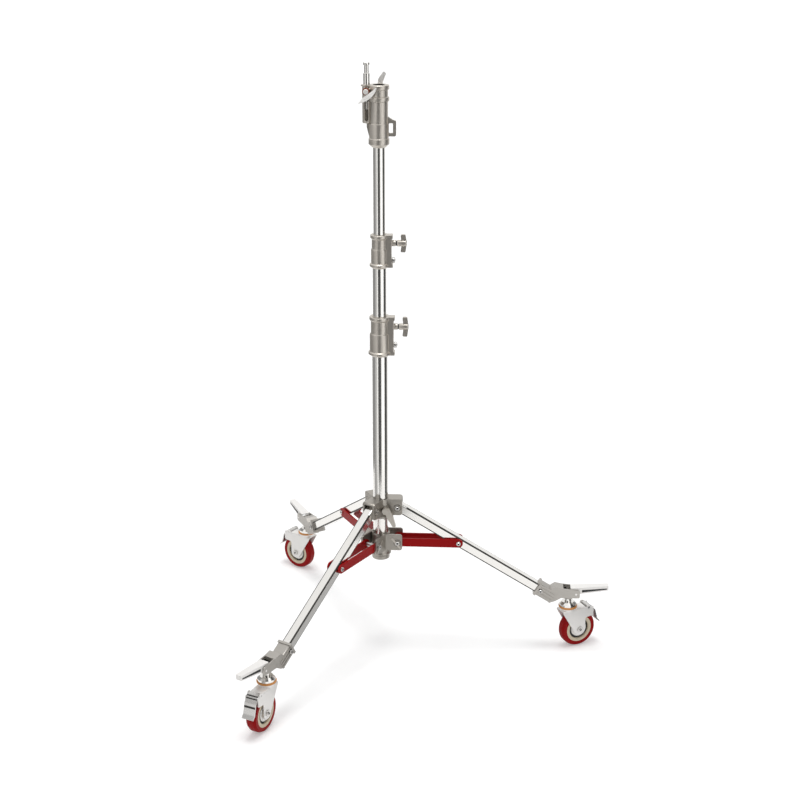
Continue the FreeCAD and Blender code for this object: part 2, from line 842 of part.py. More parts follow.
def make_receiver():
    """The head casting, bored for the upper riser from below and for the large spigot from above."""
    bosses = [
        crosswise("receiver_back_boss", size.boss_radius, BOSS_REACH, BOSS_REACH, 0, RECEIVER_LEVER_HEIGHT),
        crosswise(
            "receiver_front_boss",
            size.clamp_boss_radius,
            0,
            CLAMP_BOSS_REACH,
            -HOLDER_OFFSET,
            PIN_LEVER_HEIGHT,
        ),
    ]
    whole = fuse("receiver_whole", [receiver_body(), receiver_loop(), *receiver_holder(), *bosses])
    over = size.cut_overrun
    pin_floor = HOLDER_BASE + size.holder_floor
    half_slot = size.holder_slot_width / 2
    slot_floor = pin_floor + size.holder_slot_width * 0.6
    slot_height = RECEIVER_TOP - size.holder_slot_drop - slot_floor
    slot = block("receiver_slot", size.holder_slot_width, HOLDER_RADIUS + over, slot_height)
    put(slot, x=-HOLDER_OFFSET - half_slot, y=-HOLDER_RADIUS - over, z=slot_floor)
    bore_base = RECEIVER_TOP - SPIGOT_BORE_DEPTH
    riser_bore = size.receiver_socket + over
    pin_bore = size.spigot_radius + size.pin_fit
    pin_depth = RECEIVER_TOP - pin_floor + over
    back_hole = size.knob_screw_radius + size.pin_fit
    front_hole = size.lever_screw_radius + size.pin_fit
    back = BOSS_REACH + over
    tools = [
        upright("receiver_spigot_bore", size.spigot_bore_radius, bore_base, SPIGOT_BORE_DEPTH + over),
        upright("receiver_riser_bore", UPPER_RADIUS + size.pin_fit, RECEIVER_BASE - over, riser_bore),
        upright("receiver_pin_bore", pin_bore, pin_floor, pin_depth, x=-HOLDER_OFFSET),
        slot,
        crosswise("receiver_slot_end", half_slot, 0, HOLDER_RADIUS + over, -HOLDER_OFFSET, slot_floor),
        crosswise("receiver_back_hole", back_hole, back, back, 0, RECEIVER_LEVER_HEIGHT),
        crosswise("receiver_front_hole", front_hole, 0, back, -HOLDER_OFFSET, PIN_LEVER_HEIGHT),
    ]
    publish(cut("receiver", whole, tools), "receiver")


def lever_blade(name, shares, length, thickness):
    """A cast lever's blade: a rounded outline that narrows to its tip."""
    corners = [(length * across, length * up, length * radius) for across, up, radius in shares]
    return plate(name, corners, thickness)


def make_receiver_lever():
    """The clamp lever behind the receiver. Its blade rises past the rim."""
    seat = BOSS_REACH + size.running_gap
    end = seat + size.receiver_lever_hub_length
    thickness = size.lever_blade_thickness
    screw_length = BOSS_REACH - size.spigot_bore_radius
    screw = crosswise("receiver_lever_screw", size.knob_screw_radius, seat, screw_length, 0, 0)
    hub = crosswise("receiver_lever_hub", size.boss_radius, end, size.receiver_lever_hub_length, 0, 0)
    blade = lever_blade("receiver_lever_blade", RECEIVER_LEVER_SHARES, size.receiver_lever_rise, thickness)
    put(blade, y=end - thickness / 2)
    lever = fuse("receiver_lever", [screw, hub, blade])
    publish(put(lever, z=RECEIVER_LEVER_HEIGHT), "receiver_lever")


def make_pin_lever():
    """The crescent lever in front of the small spigot's holder. Its blade passes before the rim."""
    tip = size.spigot_radius + size.running_gap
    seat = PIN_LEVER_SEAT
    thickness = size.lever_blade_thickness
    screw = crosswise("pin_lever_screw", size.lever_screw_radius, -tip, seat - tip, 0, 0)
    hub = crosswise("pin_lever_hub", size.clamp_boss_radius, -seat, size.pin_lever_hub_length, 0, 0)
    blade = lever_blade("pin_lever_blade", PIN_LEVER_SHARES, size.pin_lever_length, thickness)
    put(blade, y=thickness / 2 - seat - size.pin_lever_hub_length)
    lever = fuse("pin_lever", [screw, hub, blade])
    publish(put(lever, x=-HOLDER_OFFSET, z=PIN_LEVER_HEIGHT), "pin_lever")


def make_spigot_pin():
    """The small spigot: a head, a turned neck, a shank in the holder and a stud below it."""
    top = RECEIVER_TOP + size.spigot_stand_out
    head_base = top - size.spigot_head
    neck_base = head_base - size.spigot_neck_length
    shank_base = RECEIVER_TOP - size.spigot_shank_drop
    stud_base = shank_base - size.spigot_stud_length
    chamfer = size.spigot_chamfer
    pin = turned(
        "spigot_pin",
        [
            (0, stud_base),
            (size.spigot_stud_radius, stud_base),
            (size.spigot_stud_radius, shank_base),
            (size.spigot_radius, shank_base),
            (size.spigot_radius, neck_base),
            (size.spigot_neck_radius, neck_base + chamfer),
            (size.spigot_neck_radius, head_base - chamfer),
            (size.spigot_radius, head_base),
            (size.spigot_radius, top - chamfer),
            (size.spigot_radius - chamfer, top),
            (0, top),
        ],
    )
    publish(put(pin, x=-HOLDER_OFFSET), "spigot_pin")


def hub_ring(node, base, height):
    """The ring of a leg collar, with a rim at its foot."""
    top = base + height
    rim = HUB_RADIUS + size.hub_rim_step
    return turned(
        f"{node}_ring",
        [
            (0, base),
            (HUB_RADIUS, base),
            (rim, base + size.hub_rim_height / 2),
            (rim, base + size.hub_rim_height),
            (HUB_RADIUS, base + size.hub_rim_height * 1.5),
            (HUB_RADIUS, top, size.hub_rim_step),
            (0, top),
        ],
    )


def ear_pair(name, height, inner, outer, slot_top, azimuth):
    """Two ears that carry one leg's pivot: a rounded plate parted by a slot, up to a roof if the slot
    ends below the plate's top."""
    both = plate(
        f"{name}_plate",
        [
            (0, -size.ear_depth),
            (EAR_END, -size.ear_depth, size.ear_rounding),
            (EAR_END, size.ear_rise + size.hood_wall, size.ear_rounding),
            (0, size.ear_rise + size.hood_wall),
        ],
        outer * 2,
    )
    over = size.cut_overrun
    slot = block(f"{name}_slot", EAR_END + over, inner * 2, slot_top + size.ear_depth + over)
    put(slot, y=-inner, z=-size.ear_depth - over)
    ears = cut(name, both, [slot])
    ears.Placement = place(0, 0, height)
    return swing(ears, azimuth)


def pivot_bolt(name, grip, height, azimuth, sleeve=None):
    """A bolt across one pair of ears, with its head and nut and, where it carries a brace, the sleeve
    that keeps the brace's bars apart."""
    head_end = grip + size.bolt_head_height
    middle = []
    if sleeve:
        middle = [
            (size.pivot_radius, -sleeve),
            (size.sleeve_radius, -sleeve),
            (size.sleeve_radius, sleeve),
            (size.pivot_radius, sleeve),
        ]
    bolt = turned(
        name,
        [
            (0, -head_end),
            (size.bolt_head_radius, -head_end),
            (size.bolt_head_radius, -grip),
            (size.pivot_radius, -grip),
            *middle,
            (size.pivot_radius, grip),
            (size.bolt_head_radius, grip),
            (size.bolt_head_radius, head_end),
            (0, head_end),
        ],
    )
    put(bolt, x=PIVOT_OFFSET, z=height, axis=(1, 0, 0), angle=90)
    return swing(bolt, azimuth)


def make_leg_hub(node, base, height, bore, pivot_height, ears, extras, extra_tools):
    """A cast leg collar: a ring round the column, and ears with a bolt hole for each leg."""
    over = size.cut_overrun
    pieces = [hub_ring(node, base, height), *extras]
    tools = [upright(f"{node}_bore", bore, base - over, height + over * 2), *extra_tools]
    reach = ears["outer"] + over
    hole_radius = size.pivot_radius + size.pin_fit
    for leg, azimuth in LEGS.items():
        pieces.append(ear_pair(f"{node}_ears_{leg}", pivot_height, azimuth=azimuth, **ears))
        hole = crosswise(f"{node}_hole_{leg}", hole_radius, reach, reach * 2, PIVOT_OFFSET, pivot_height)
        tools.append(swing(hole, azimuth))
    publish(cut(node, fuse(f"{node}_whole", pieces), tools), node)


def make_leg_collars():
    make_leg_hub(
        "brace_collar",
        BRACE_PIVOT_HEIGHT - size.fixed_hub_drop,
        size.fixed_hub_height,
        size.column_radius + size.pin_fit,
        BRACE_PIVOT_HEIGHT,
        {"inner": FIXED_EAR_INNER, "outer": FIXED_EAR_OUTER, "slot_top": size.ear_rise * 2},
        [],
        [],
    )
    x = size.claw_pivot_offset
    z = CLAW_PIVOT_HEIGHT
    claw_boss = crosswise("leg_collar_claw_boss", size.claw_boss_radius, 0, CLAW_BOSS_REACH, x, z)
    claw_hole = crosswise(
        "leg_collar_claw_hole",
        size.lever_screw_radius + size.pin_fit,
        0,
        CLAW_BOSS_REACH + size.cut_overrun,
        x,
        z,
    )
    make_leg_hub(
        "leg_collar",
        LEG_PIVOT_HEIGHT - size.slide_hub_drop,
        size.slide_hub_height,
        size.column_radius + size.running_gap,
        LEG_PIVOT_HEIGHT,
        {"inner": SLIDE_EAR_INNER, "outer": SLIDE_EAR_OUTER, "slot_top": LEG_SWEEP + size.hood_clearance},
        [claw_boss],
        [claw_hole],
    )
    sleeve = BAR_INNER - size.running_gap
    braces = []
    roots = []
    for leg, azimuth in LEGS.items():
        braces.append(pivot_bolt(f"brace_bolt_{leg}", FIXED_EAR_OUTER, BRACE_PIVOT_HEIGHT, azimuth, sleeve))
        roots.append(pivot_bolt(f"leg_bolt_{leg}", SLIDE_EAR_OUTER, LEG_PIVOT_HEIGHT, azimuth))
    publish(group("brace_pivot_bolts", braces), "brace_pivot_bolts")
    publish(group("leg_pivot_bolts", roots), "leg_pivot_bolts")


def make_claw_lever():
    """The clamp lever of the sliding collar, with a claw that hangs to one side."""
    tip = size.column_radius + size.running_gap
    seat = CLAW_BOSS_REACH + size.running_gap
    screw = crosswise("claw_lever_screw", size.lever_screw_radius, -tip, seat - tip, 0, 0)
    hub = crosswise("claw_lever_hub", size.claw_boss_radius, -seat, size.claw_hub_length, 0, 0)
    claw = lever_blade("claw_lever_claw", CLAW_SHARES, size.claw_length, size.claw_thickness)
    put(claw, y=-seat - size.claw_thickness / 2)
    lever = fuse("leg_collar_lever", [screw, hub, claw])
    publish(put(lever, x=size.claw_pivot_offset, z=CLAW_PIVOT_HEIGHT), "leg_collar_lever")


def on_leg(piece, distance, across=0, rise=0, axis=(0, 0, 1), angle=0):
    """Sets a piece down in the leg's own line: the distance runs outward from the leg's pivot."""
    line = place(PIVOT_OFFSET, 0, LEG_PIVOT_HEIGHT, (0, 1, 0), LEG_DROP)
    piece.Placement = line.multiply(place(distance, across, rise, axis, angle))
    return piece


def leg_bar(name, width, height, start, end, rise=0):
    """A bar of square section along the leg's line."""
    return on_leg(block(name, end - start, width, height), start, -width / 2, -height / 2 + rise)


def leg_line():
    drop = math.radians(LEG_DROP)
    return (math.cos(drop), 0, -math.sin(drop))


def make_leg(leg, azimuth):
    """A square tube leg, from its pivot into its end casting."""
    over = size.cut_overrun
    bore = size.leg_width - size.leg_wall * 2
    outer = leg_bar(f"leg_outer_{leg}", size.leg_width, size.leg_width, -size.leg_root, size.leg_length)
    inner = leg_bar(f"leg_inner_{leg}", bore, bore, -size.leg_root - over, size.leg_length + over)
    soft_outer = rounded(f"leg_soft_outer_{leg}", outer, size.leg_corner, leg_line())
    soft_inner = rounded(f"leg_soft_inner_{leg}", inner, size.leg_corner - size.leg_wall, leg_line())
    pivot = crosswise(
        f"leg_pivot_{leg}",
        size.pivot_radius + size.pin_fit,
        size.leg_width,
        size.leg_width * 2,
        PIVOT_OFFSET,
        LEG_PIVOT_HEIGHT,
    )
    publish(swing(cut(f"leg_{leg}", soft_outer, [soft_inner, pivot]), azimuth), f"leg_{leg}")


def leg_socket(leg):
    """The end casting's socket: a square sleeve with a flange at its mouth and ribs along its sides."""
    width = SOCKET_HALF * 2
    end = size.leg_length + size.socket_end
    sleeve = leg_bar(f"socket_{leg}", width, width, SOCKET_START, end)
    flange_width = width + size.socket_flange_step * 2
    flange_end = SOCKET_START + size.socket_flange_length
    flange = leg_bar(f"socket_flange_{leg}", flange_width, flange_width, SOCKET_START, flange_end)
    ribs = [
        leg_bar(
            f"socket_rib_{leg}_{row + 1}",
            width + size.socket_rib_step * 2,
            size.socket_rib_width,
            SOCKET_START,
            end,
            size.socket_rib_width * 2.4 * row,
        )
        for row in (-1, 0, 1)
    ]
    return [
        rounded(f"socket_soft_{leg}", sleeve, size.socket_rounding, leg_line()),
        rounded(f"socket_flange_soft_{leg}", flange, size.socket_rounding, leg_line()),
        *ribs,
    ]


def make_leg_end(leg, azimuth):
    """The end casting: a socket for the tube, and a level arm that ends in two cheeks for the lever
    and carries the caster in its floor."""
    over = size.cut_overrun
    reach = SWIVEL_REACH
    height = size.arm_height
    corner = height / 4
    root = reach - size.swivel_overhang
    bend = reach - size.stem_boss_radius * 1.5
    end = reach + size.arm_overhang
    arm = plate(
        f"end_arm_{leg}",
        [
            (root - height * 0.35, ARM_BASE - height * 0.75),
            (root + height * 0.43, ARM_BASE - height * 0.5),
            (bend, ARM_BASE, corner),
            (end, ARM_BASE, corner),
            (end, ARM_TOP + corner / 2, corner * 1.5),
            (bend, ARM_TOP + corner * 1.5, corner),
            (root + height * 0.43, ARM_TOP + height * 0.55),
            (root - height * 0.35, ARM_TOP),
        ],
        ARM_WIDTH,
    )
    boss_height = size.stem_boss_height + size.arm_floor
    boss = upright(f"end_boss_{leg}", size.stem_boss_radius, STEM_FLANGE, boss_height, x=reach)
    whole = fuse(f"end_whole_{leg}", [*leg_socket(leg), arm, boss])
    cavity_width = size.leg_width + size.pin_fit * 2
    cavity_end = size.leg_length + size.pin_fit
    recess_width = LEVER_ROOT_WIDTH + size.running_gap * 2
    recess_length = size.arm_recess_back + size.arm_overhang + over
    recess = block(f"end_recess_{leg}", recess_length, recess_width, height * 2)
    put(recess, x=reach - size.arm_recess_back, y=-recess_width / 2, z=ARM_BASE + size.arm_floor)
    mouth = block(f"end_mouth_{leg}", size.arm_overhang + over, recess_width, height * 2)
    put(mouth, x=reach + size.stem_boss_radius, y=-recess_width / 2, z=ARM_BASE - over)
    bolt_radius = size.pivot_radius + size.pin_fit
    bolt_hole = solid("Part::Cylinder", f"end_bolt_hole_{leg}", Radius=bolt_radius, Height=ARM_WIDTH * 2)
    on_leg(bolt_hole, size.leg_length - size.socket_bolt_inset, ARM_WIDTH, axis=(1, 0, 0), angle=90)
    pin_radius = size.lever_pin_radius + size.pin_fit
    pin_offset = reach + size.lever_pin_offset
    stem_radius = size.stem_radius + size.pin_fit
    tools = [
        leg_bar(f"end_cavity_{leg}", cavity_width, cavity_width, SOCKET_START - over, cavity_end),
        upright(f"end_stem_hole_{leg}", stem_radius, STEM_FLANGE - over, height * 2, x=reach),
        recess,
        mouth,
        crosswise(f"end_pin_hole_{leg}", pin_radius, ARM_WIDTH, ARM_WIDTH * 2, pin_offset, LEVER_PIN_HEIGHT),
        bolt_hole,
    ]
    publish(swing(cut(f"leg_end_{leg}", whole, tools), azimuth), f"leg_end_{leg}")


def make_socket_bolts(leg, azimuth):
    """The two screws that hold the end casting on its tube, one from each side."""
    tip = size.leg_width / 2 + size.pin_fit
    seat = SOCKET_HALF + size.socket_rib_step
    end = seat + size.bolt_head_height
    bolts = []
    for side in (1, -1):
        bolt = turned(
            f"socket_bolt_{leg}_{side + 1}",
            [
                (0, tip),
                (size.pivot_radius, tip),
                (size.pivot_radius, seat),
                (size.bolt_head_radius, seat),
                (size.bolt_head_radius, end, size.spigot_chamfer),
                (0, end),
            ],
        )
        on_leg(bolt, size.leg_length - size.socket_bolt_inset, axis=(1, 0, 0), angle=-90 * side)
        bolts.append(swing(bolt, azimuth))
    publish(group(f"sleeve_bolts_{leg}", bolts), f"sleeve_bolts_{leg}")


def tapered(name, width_cut, depth_cut, start, end):
    """A wedge along the lever, as wide and deep as the lever there less the cuts."""
    root_half = LEVER_ROOT_WIDTH / 2 - width_cut
    tip_half = size.lever_tip_width / 2 - width_cut
    wedge = solid(
        "Part::Wedge",
        name,
        Xmin=-root_half,
        Xmax=root_half,
        X2min=-tip_half,
        X2max=tip_half,
        Ymin=start,
        Ymax=end,
        Zmin=-size.lever_root_depth + depth_cut - width_cut,
        Zmax=-width_cut,
        Z2min=size.lever_tip_rise - size.lever_tip_depth + depth_cut - width_cut,
        Z2max=size.lever_tip_rise - width_cut,
    )
    return put(wedge, x=LEVER_HEEL, z=LEVER_TOP, angle=-90)


def make_leg_lever(leg, azimuth):
    """The long lever on the leg's end: a tapered channel, open below, on a pin between the cheeks. Its
    side walls are cut back at the heel so that it can lift."""
    over = size.cut_overrun
    length = size.lever_heel_reach + size.lever_reach
    skin = tapered(f"lever_skin_{leg}", 0, 0, 0, length)
    hollow = tapered(f"lever_hollow_{leg}", size.lever_wall, -over, -over, length - size.lever_wall)
    depth = size.lever_root_depth + over
    heel = block(f"lever_heel_{leg}", size.lever_heel_length + over, LEVER_ROOT_WIDTH * 2, depth)
    put(heel, x=LEVER_HEEL - over, y=-LEVER_ROOT_WIDTH, z=LEVER_TOP - size.lever_heel_height - depth)
    pin = crosswise(
        f"lever_pin_{leg}",
        size.lever_pin_radius,
        ARM_WIDTH / 2,
        ARM_WIDTH,
        SWIVEL_REACH + size.lever_pin_offset,
        LEVER_PIN_HEIGHT,
    )
    soft = rounded(f"lever_soft_{leg}", skin, size.lever_wall, (0, 0, 1))
    channel = cut(f"lever_channel_{leg}", soft, [hollow, heel])
    publish(swing(fuse(f"leg_lever_{leg}", [channel, pin]), azimuth), f"leg_lever_{leg}")


def brace_bar(name, low):
    """A flat bar with round ends and a hole in each end, along X from its inner pivot."""
    high = low + size.bar_thickness
    half = size.bar_height / 2
    over = size.cut_overrun
    middle = block(f"{name}_middle", size.brace_length, size.bar_thickness, size.bar_height)
    put(middle, x=PIVOT_OFFSET, y=low, z=BRACE_PIVOT_HEIGHT - half)
    ends = []
    holes = []
    hole_radius = size.pivot_radius + size.pin_fit
    hole_length = size.bar_thickness + over * 2
    height = BRACE_PIVOT_HEIGHT
    for end, x in (("inner", PIVOT_OFFSET), ("outer", PIVOT_OFFSET + size.brace_length)):
        ends.append(crosswise(f"{name}_{end}_end", half, high, size.bar_thickness, x, height))
        holes.append(crosswise(f"{name}_{end}_hole", hole_radius, high + over, hole_length, x, height))
    return cut(name, fuse(f"{name}_whole", [middle, *ends]), holes)


def brace_screw(name, side):
    """The short screw and spacer at a bar's outer end. It stops just short of the leg."""
    tip = size.leg_width / 2 + size.running_gap
    head_end = BAR_OUTER + size.brace_head_height
    screw = turned(
        name,
        [
            (0, tip),
            (size.brace_washer_radius, tip),
            (size.brace_washer_radius, BAR_INNER),
            (size.pivot_radius, BAR_INNER),
            (size.pivot_radius, BAR_OUTER),
            (size.brace_head_radius, BAR_OUTER),
            (size.brace_head_radius, head_end, size.spigot_chamfer),
            (0, head_end),
        ],
    )
    outer = PIVOT_OFFSET + size.brace_length
    return put(screw, x=outer, z=BRACE_PIVOT_HEIGHT, axis=(1, 0, 0), angle=-90 * side)


def make_brace(leg, azimuth):
    bars = [brace_bar(f"bar_left_{leg}", BAR_INNER), brace_bar(f"bar_right_{leg}", -BAR_OUTER)]
    screws = [brace_screw(f"brace_screw_left_{leg}", 1), brace_screw(f"brace_screw_right_{leg}", -1)]
    for piece in (*bars, *screws):
        swing(piece, azimuth)
    publish(group(f"brace_bars_{leg}", bars), f"brace_bars_{leg}")
    publish(group(f"brace_screws_{leg}", screws), f"brace_screws_{leg}")


def seat_caster(piece, leg, azimuth, x=0, z=0, axis=(0, 0, 1), angle=0):
    """Sets a piece down in its caster's own frame: +X trails from the swivel's axis."""
    swivel = place(SWIVEL_REACH, 0, 0, angle=CASTER_TURNS[leg])
    piece.Placement = swivel.multiply(place(x, 0, z, axis, angle))
    return swing(piece, azimuth)


def make_caster_stem(leg, azimuth):
    """The part of the caster that stays with the leg: stem, nuts, upper race and rivet head."""
    race_base = SWIVEL_HEIGHT + size.ring_height + size.running_gap
    race_top = race_base + size.race_height
    rivet_top = CROWN_BASE - size.running_gap
    rivet_radius = size.stem_nut_radius * 1.2
    nut_base = ARM_BASE + size.arm_floor
    nut_top = nut_base + size.stem_nut_height
    stem = turned(
        f"caster_stem_{leg}",
        [
            (0, rivet_top - size.fork_crown),
            (rivet_radius, rivet_top - size.fork_crown),
            (rivet_radius, rivet_top),
            (size.stem_radius, rivet_top),
            (size.stem_radius, race_base),
            (size.race_radius, race_base),
            (size.race_radius, race_base + size.race_height / 2),
            (size.race_radius * 0.72, race_top),
            (size.stem_nut_radius, race_top),
            (size.stem_nut_radius, STEM_FLANGE),
            (size.stem_radius, STEM_FLANGE),
            (size.stem_radius, nut_base),
            (size.stem_nut_radius, nut_base),
            (size.stem_nut_radius, nut_top),
            (0, nut_top),
        ],
    )
    publish(seat_caster(stem, leg, azimuth), f"caster_stem_{leg}")


def make_caster_ring(leg, azimuth):
    """The coloured seal ring between the races. It turns with the fork."""
    top = SWIVEL_HEIGHT + size.ring_height
    edge = size.ring_height / 3
    inner = size.race_radius / 2
    section = [
        (inner, SWIVEL_HEIGHT),
        (size.ring_radius, SWIVEL_HEIGHT, edge),
        (size.ring_radius, top, edge),
        (inner, top),
    ]
    ring = turned(f"caster_ring_{leg}", section)
    publish(seat_caster(ring, leg, azimuth), f"caster_ring_{leg}")


def fork_lugs(leg):
    """The two lugs that carry the brake pedal, as one round-topped piece across the fork."""
    base = size.lug_radius * 2
    width = FORK_OUTER * 2
    height = PEDAL_PIVOT_HEIGHT
    stalk = block(f"lug_stalk_{leg}", base, width, base)
    put(stalk, x=PEDAL_PIVOT_OFFSET - size.lug_radius, y=-FORK_OUTER, z=height - base)
    top = crosswise(f"lug_top_{leg}", size.lug_radius, FORK_OUTER, width, PEDAL_PIVOT_OFFSET, height)
    return [stalk, top]


def make_caster_fork(leg, azimuth):
    """The pressed fork: a crown that bends down into two cheeks, which narrow to the axle, with the
    lower race on it and lugs for the pedal behind."""
    front = -size.race_radius
    axle = size.caster_trail
    cheek = size.fork_cheek
    toe = size.wheel_radius - cheek
    shoulder = CROWN_TOP - size.fork_shoulder_drop
    side = plate(
        f"fork_side_{leg}",
        [
            (front, CROWN_TOP),
            (front, CROWN_TOP - size.fork_crown * 2),
            (axle - cheek * 0.66, toe, cheek * 0.95),
            (axle + cheek, toe, cheek * 0.95),
            (axle + cheek, shoulder, size.fork_rounding),
            (FORK_TAIL, shoulder + size.fork_crown, size.fork_rounding),
            (FORK_TAIL, CROWN_TOP),
        ],
        FORK_OUTER * 2,
    )
    bent = rounded(f"fork_bent_{leg}", side, size.fork_bend, (1, 0, 0), above=CROWN_BASE)
    over = size.cut_overrun
    inside = block(f"fork_inside_{leg}", FORK_TAIL + size.race_radius + over * 2, FORK_INNER * 2, CROWN_BASE)
    put(inside, x=front - over, y=-FORK_INNER)
    bend = size.fork_bend - size.fork_wall
    channel = rounded(f"fork_channel_{leg}", inside, bend, (1, 0, 0), above=size.wheel_radius)
    race = upright(f"fork_race_{leg}", size.race_radius, CROWN_BASE, SWIVEL_HEIGHT - CROWN_BASE)
    opening_start = PEDAL_PIVOT_OFFSET - size.pedal_barrel_radius - size.pedal_clearance
    opening = block(f"fork_opening_{leg}", FORK_TAIL, FORK_INNER * 2, PEDAL_PIVOT_HEIGHT)
    put(opening, x=opening_start, y=-FORK_INNER, z=size.wheel_radius * 1.5)
    reach = FORK_OUTER * 2
    stem_hole = size.stem_radius + size.running_gap
    lug_hole = size.pedal_pivot_radius + size.pin_fit
    axle_hole = size.axle_radius + size.pin_fit
    holes = [
        upright(f"fork_stem_hole_{leg}", stem_hole, CROWN_BASE - over, size.race_height * 2),
        crosswise(f"fork_lug_hole_{leg}", lug_hole, reach, reach * 2, PEDAL_PIVOT_OFFSET, PEDAL_PIVOT_HEIGHT),
        crosswise(f"fork_axle_hole_{leg}", axle_hole, reach, reach * 2, axle, size.wheel_radius),
    ]
    whole = fuse(f"fork_whole_{leg}", [bent, *fork_lugs(leg)])
    folded = fuse(f"fork_folded_{leg}", [cut(f"fork_open_{leg}", whole, [channel, opening]), race])
    fork = cut(f"caster_fork_{leg}", folded, holes)
    publish(seat_caster(fork, leg, azimuth), f"caster_fork_{leg}")


def seat_wheel(piece, leg, azimuth, node):
    """Sets a piece that was turned about Z down on the wheel's axle."""
    publish(seat_caster(piece, leg, azimuth, size.caster_trail, size.wheel_radius, (1, 0, 0), 90), node)


def make_wheel(leg, azimuth):
    """A tyre cast round a wheel that is dished on both sides, and the axle that carries it."""
    half = size.wheel_width / 2
    rim_half = half - size.rim_inset
    seam = size.wheel_radius - size.tread_depth
    tread = [
        (seam, -rim_half),
        (size.wheel_radius - size.tread_rounding * 0.6, -half),
        (size.wheel_radius, -half + size.tread_rounding, size.tread_rounding),
        (size.wheel_radius, half - size.tread_rounding, size.tread_rounding),
        (size.wheel_radius - size.tread_rounding * 0.6, half),
        (seam, rim_half),
    ]
    seat_wheel(turned(f"wheel_tread_{leg}", tread), leg, azimuth, f"wheel_tread_{leg}")
    bore = size.axle_radius + size.pin_fit
    hub_half = half + size.hub_stand_out
    web_half = size.web_thickness / 2
    rim = seam - size.rim_depth
    core = [
        (bore, -hub_half),
        (size.wheel_hub_radius, -hub_half),
        (size.wheel_hub_radius, -web_half),
        (rim, -web_half),
        (rim, -rim_half),
        (seam, -rim_half),
        (seam, rim_half),
        (rim, rim_half),
        (rim, web_half),
        (size.wheel_hub_radius, web_half),
        (size.wheel_hub_radius, hub_half),
        (bore, hub_half),
    ]
    seat_wheel(turned(f"wheel_core_{leg}", core), leg, azimuth, f"wheel_core_{leg}")
    head_end = FORK_OUTER + size.axle_head_height
    axle = [
        (0, -head_end),
        (size.axle_head_radius, -head_end),
        (size.axle_head_radius, -FORK_OUTER),
        (size.axle_radius, -FORK_OUTER),
        (size.axle_radius, FORK_OUTER),
        (size.axle_head_radius, FORK_OUTER),
        (size.axle_head_radius, head_end),
        (0, head_end),
    ]
    seat_wheel(turned(f"wheel_axle_{leg}", axle), leg, azimuth, f"wheel_axle_{leg}")


def make_brake_pedal(leg, azimuth):
    """The brake pedal: a bent plate on a barrel between the fork's lugs, with its own pin."""
    corners = []
    for out, up, *bend in PEDAL_SHARES:
        radius = [size.pedal_reach * share for share in bend]
        corners.append((size.pedal_reach * out, size.pedal_drop * up, *radius))
    blade = plate(f"pedal_blade_{leg}", corners, PEDAL_WIDTH)
    barrel = crosswise(f"pedal_barrel_{leg}", size.pedal_barrel_radius, PEDAL_WIDTH / 2, PEDAL_WIDTH, 0, 0)
    pin = crosswise(f"pedal_pin_{leg}", size.pedal_pivot_radius, FORK_OUTER, FORK_OUTER * 2, 0, 0)
    pedal = fuse(f"brake_pedal_{leg}", [blade, barrel, pin])
    publish(seat_caster(pedal, leg, azimuth, PEDAL_PIVOT_OFFSET, PEDAL_PIVOT_HEIGHT), f"brake_pedal_{leg}")


make_column()
make_risers()
make_receiver()
make_receiver_lever()
make_pin_lever()
make_spigot_pin()
make_leg_collars()
make_claw_lever()
for leg, azimuth in LEGS.items():
    make_leg(leg, azimuth)
    make_leg_end(leg, azimuth)
    make_socket_bolts(leg, azimuth)
    make_leg_lever(leg, azimuth)
    make_brace(leg, azimuth)
    make_caster_stem(leg, azimuth)
    make_caster_ring(leg, azimuth)
    make_caster_fork(leg, azimuth)
    make_wheel(leg, azimuth)
    make_brake_pedal(leg, azimuth)

document.recompute()
for item in document.Objects:
    if {"Invalid", "Error"} & set(item.State):
        raise RuntimeError(f"{item.Name} did not build")
for node, piece in nodes.items():
    if piece.Shape.isNull() or not piece.Shape.isValid():
        raise RuntimeError(f"{node} has no valid shape")

os.makedirs("parts", exist_ok=True)
for node, piece in nodes.items():
    piece.Shape.exportStep(os.path.join("parts", f"{node}.step"))
    print(f"{node}: {len(piece.Shape.Solids)} solid(s), {piece.Shape.Volume / 1000:.1f} cm3")
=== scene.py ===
"""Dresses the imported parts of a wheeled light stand: finishes, fixings, floor, lamps and camera."""

import json
import math

import bmesh
import bpy
from mathutils import Matrix, Vector


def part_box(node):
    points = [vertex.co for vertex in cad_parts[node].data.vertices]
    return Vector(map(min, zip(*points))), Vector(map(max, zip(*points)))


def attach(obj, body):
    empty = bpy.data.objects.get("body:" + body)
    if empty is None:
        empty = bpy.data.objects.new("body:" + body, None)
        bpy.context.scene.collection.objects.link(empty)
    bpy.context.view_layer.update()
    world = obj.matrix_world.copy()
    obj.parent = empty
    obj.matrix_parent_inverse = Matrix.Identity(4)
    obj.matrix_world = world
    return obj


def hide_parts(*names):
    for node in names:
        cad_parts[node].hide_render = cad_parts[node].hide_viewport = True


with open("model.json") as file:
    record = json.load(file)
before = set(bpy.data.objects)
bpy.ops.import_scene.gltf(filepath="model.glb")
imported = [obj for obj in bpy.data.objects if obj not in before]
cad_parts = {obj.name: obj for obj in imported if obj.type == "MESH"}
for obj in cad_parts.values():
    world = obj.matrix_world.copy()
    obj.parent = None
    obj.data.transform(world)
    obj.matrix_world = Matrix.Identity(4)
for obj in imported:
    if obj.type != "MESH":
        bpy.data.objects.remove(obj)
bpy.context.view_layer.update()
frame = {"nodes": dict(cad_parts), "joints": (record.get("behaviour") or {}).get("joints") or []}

bl_info = {
    "name": "Wheeled light stand",
    "version": (1, 0, 0),
    "blender": (4, 5, 0),
    "location": "3D View > Sidebar > Light stand",
    "description": "Finishes and fittings of a light stand with folding legs on casters",
    "category": "Object",
}

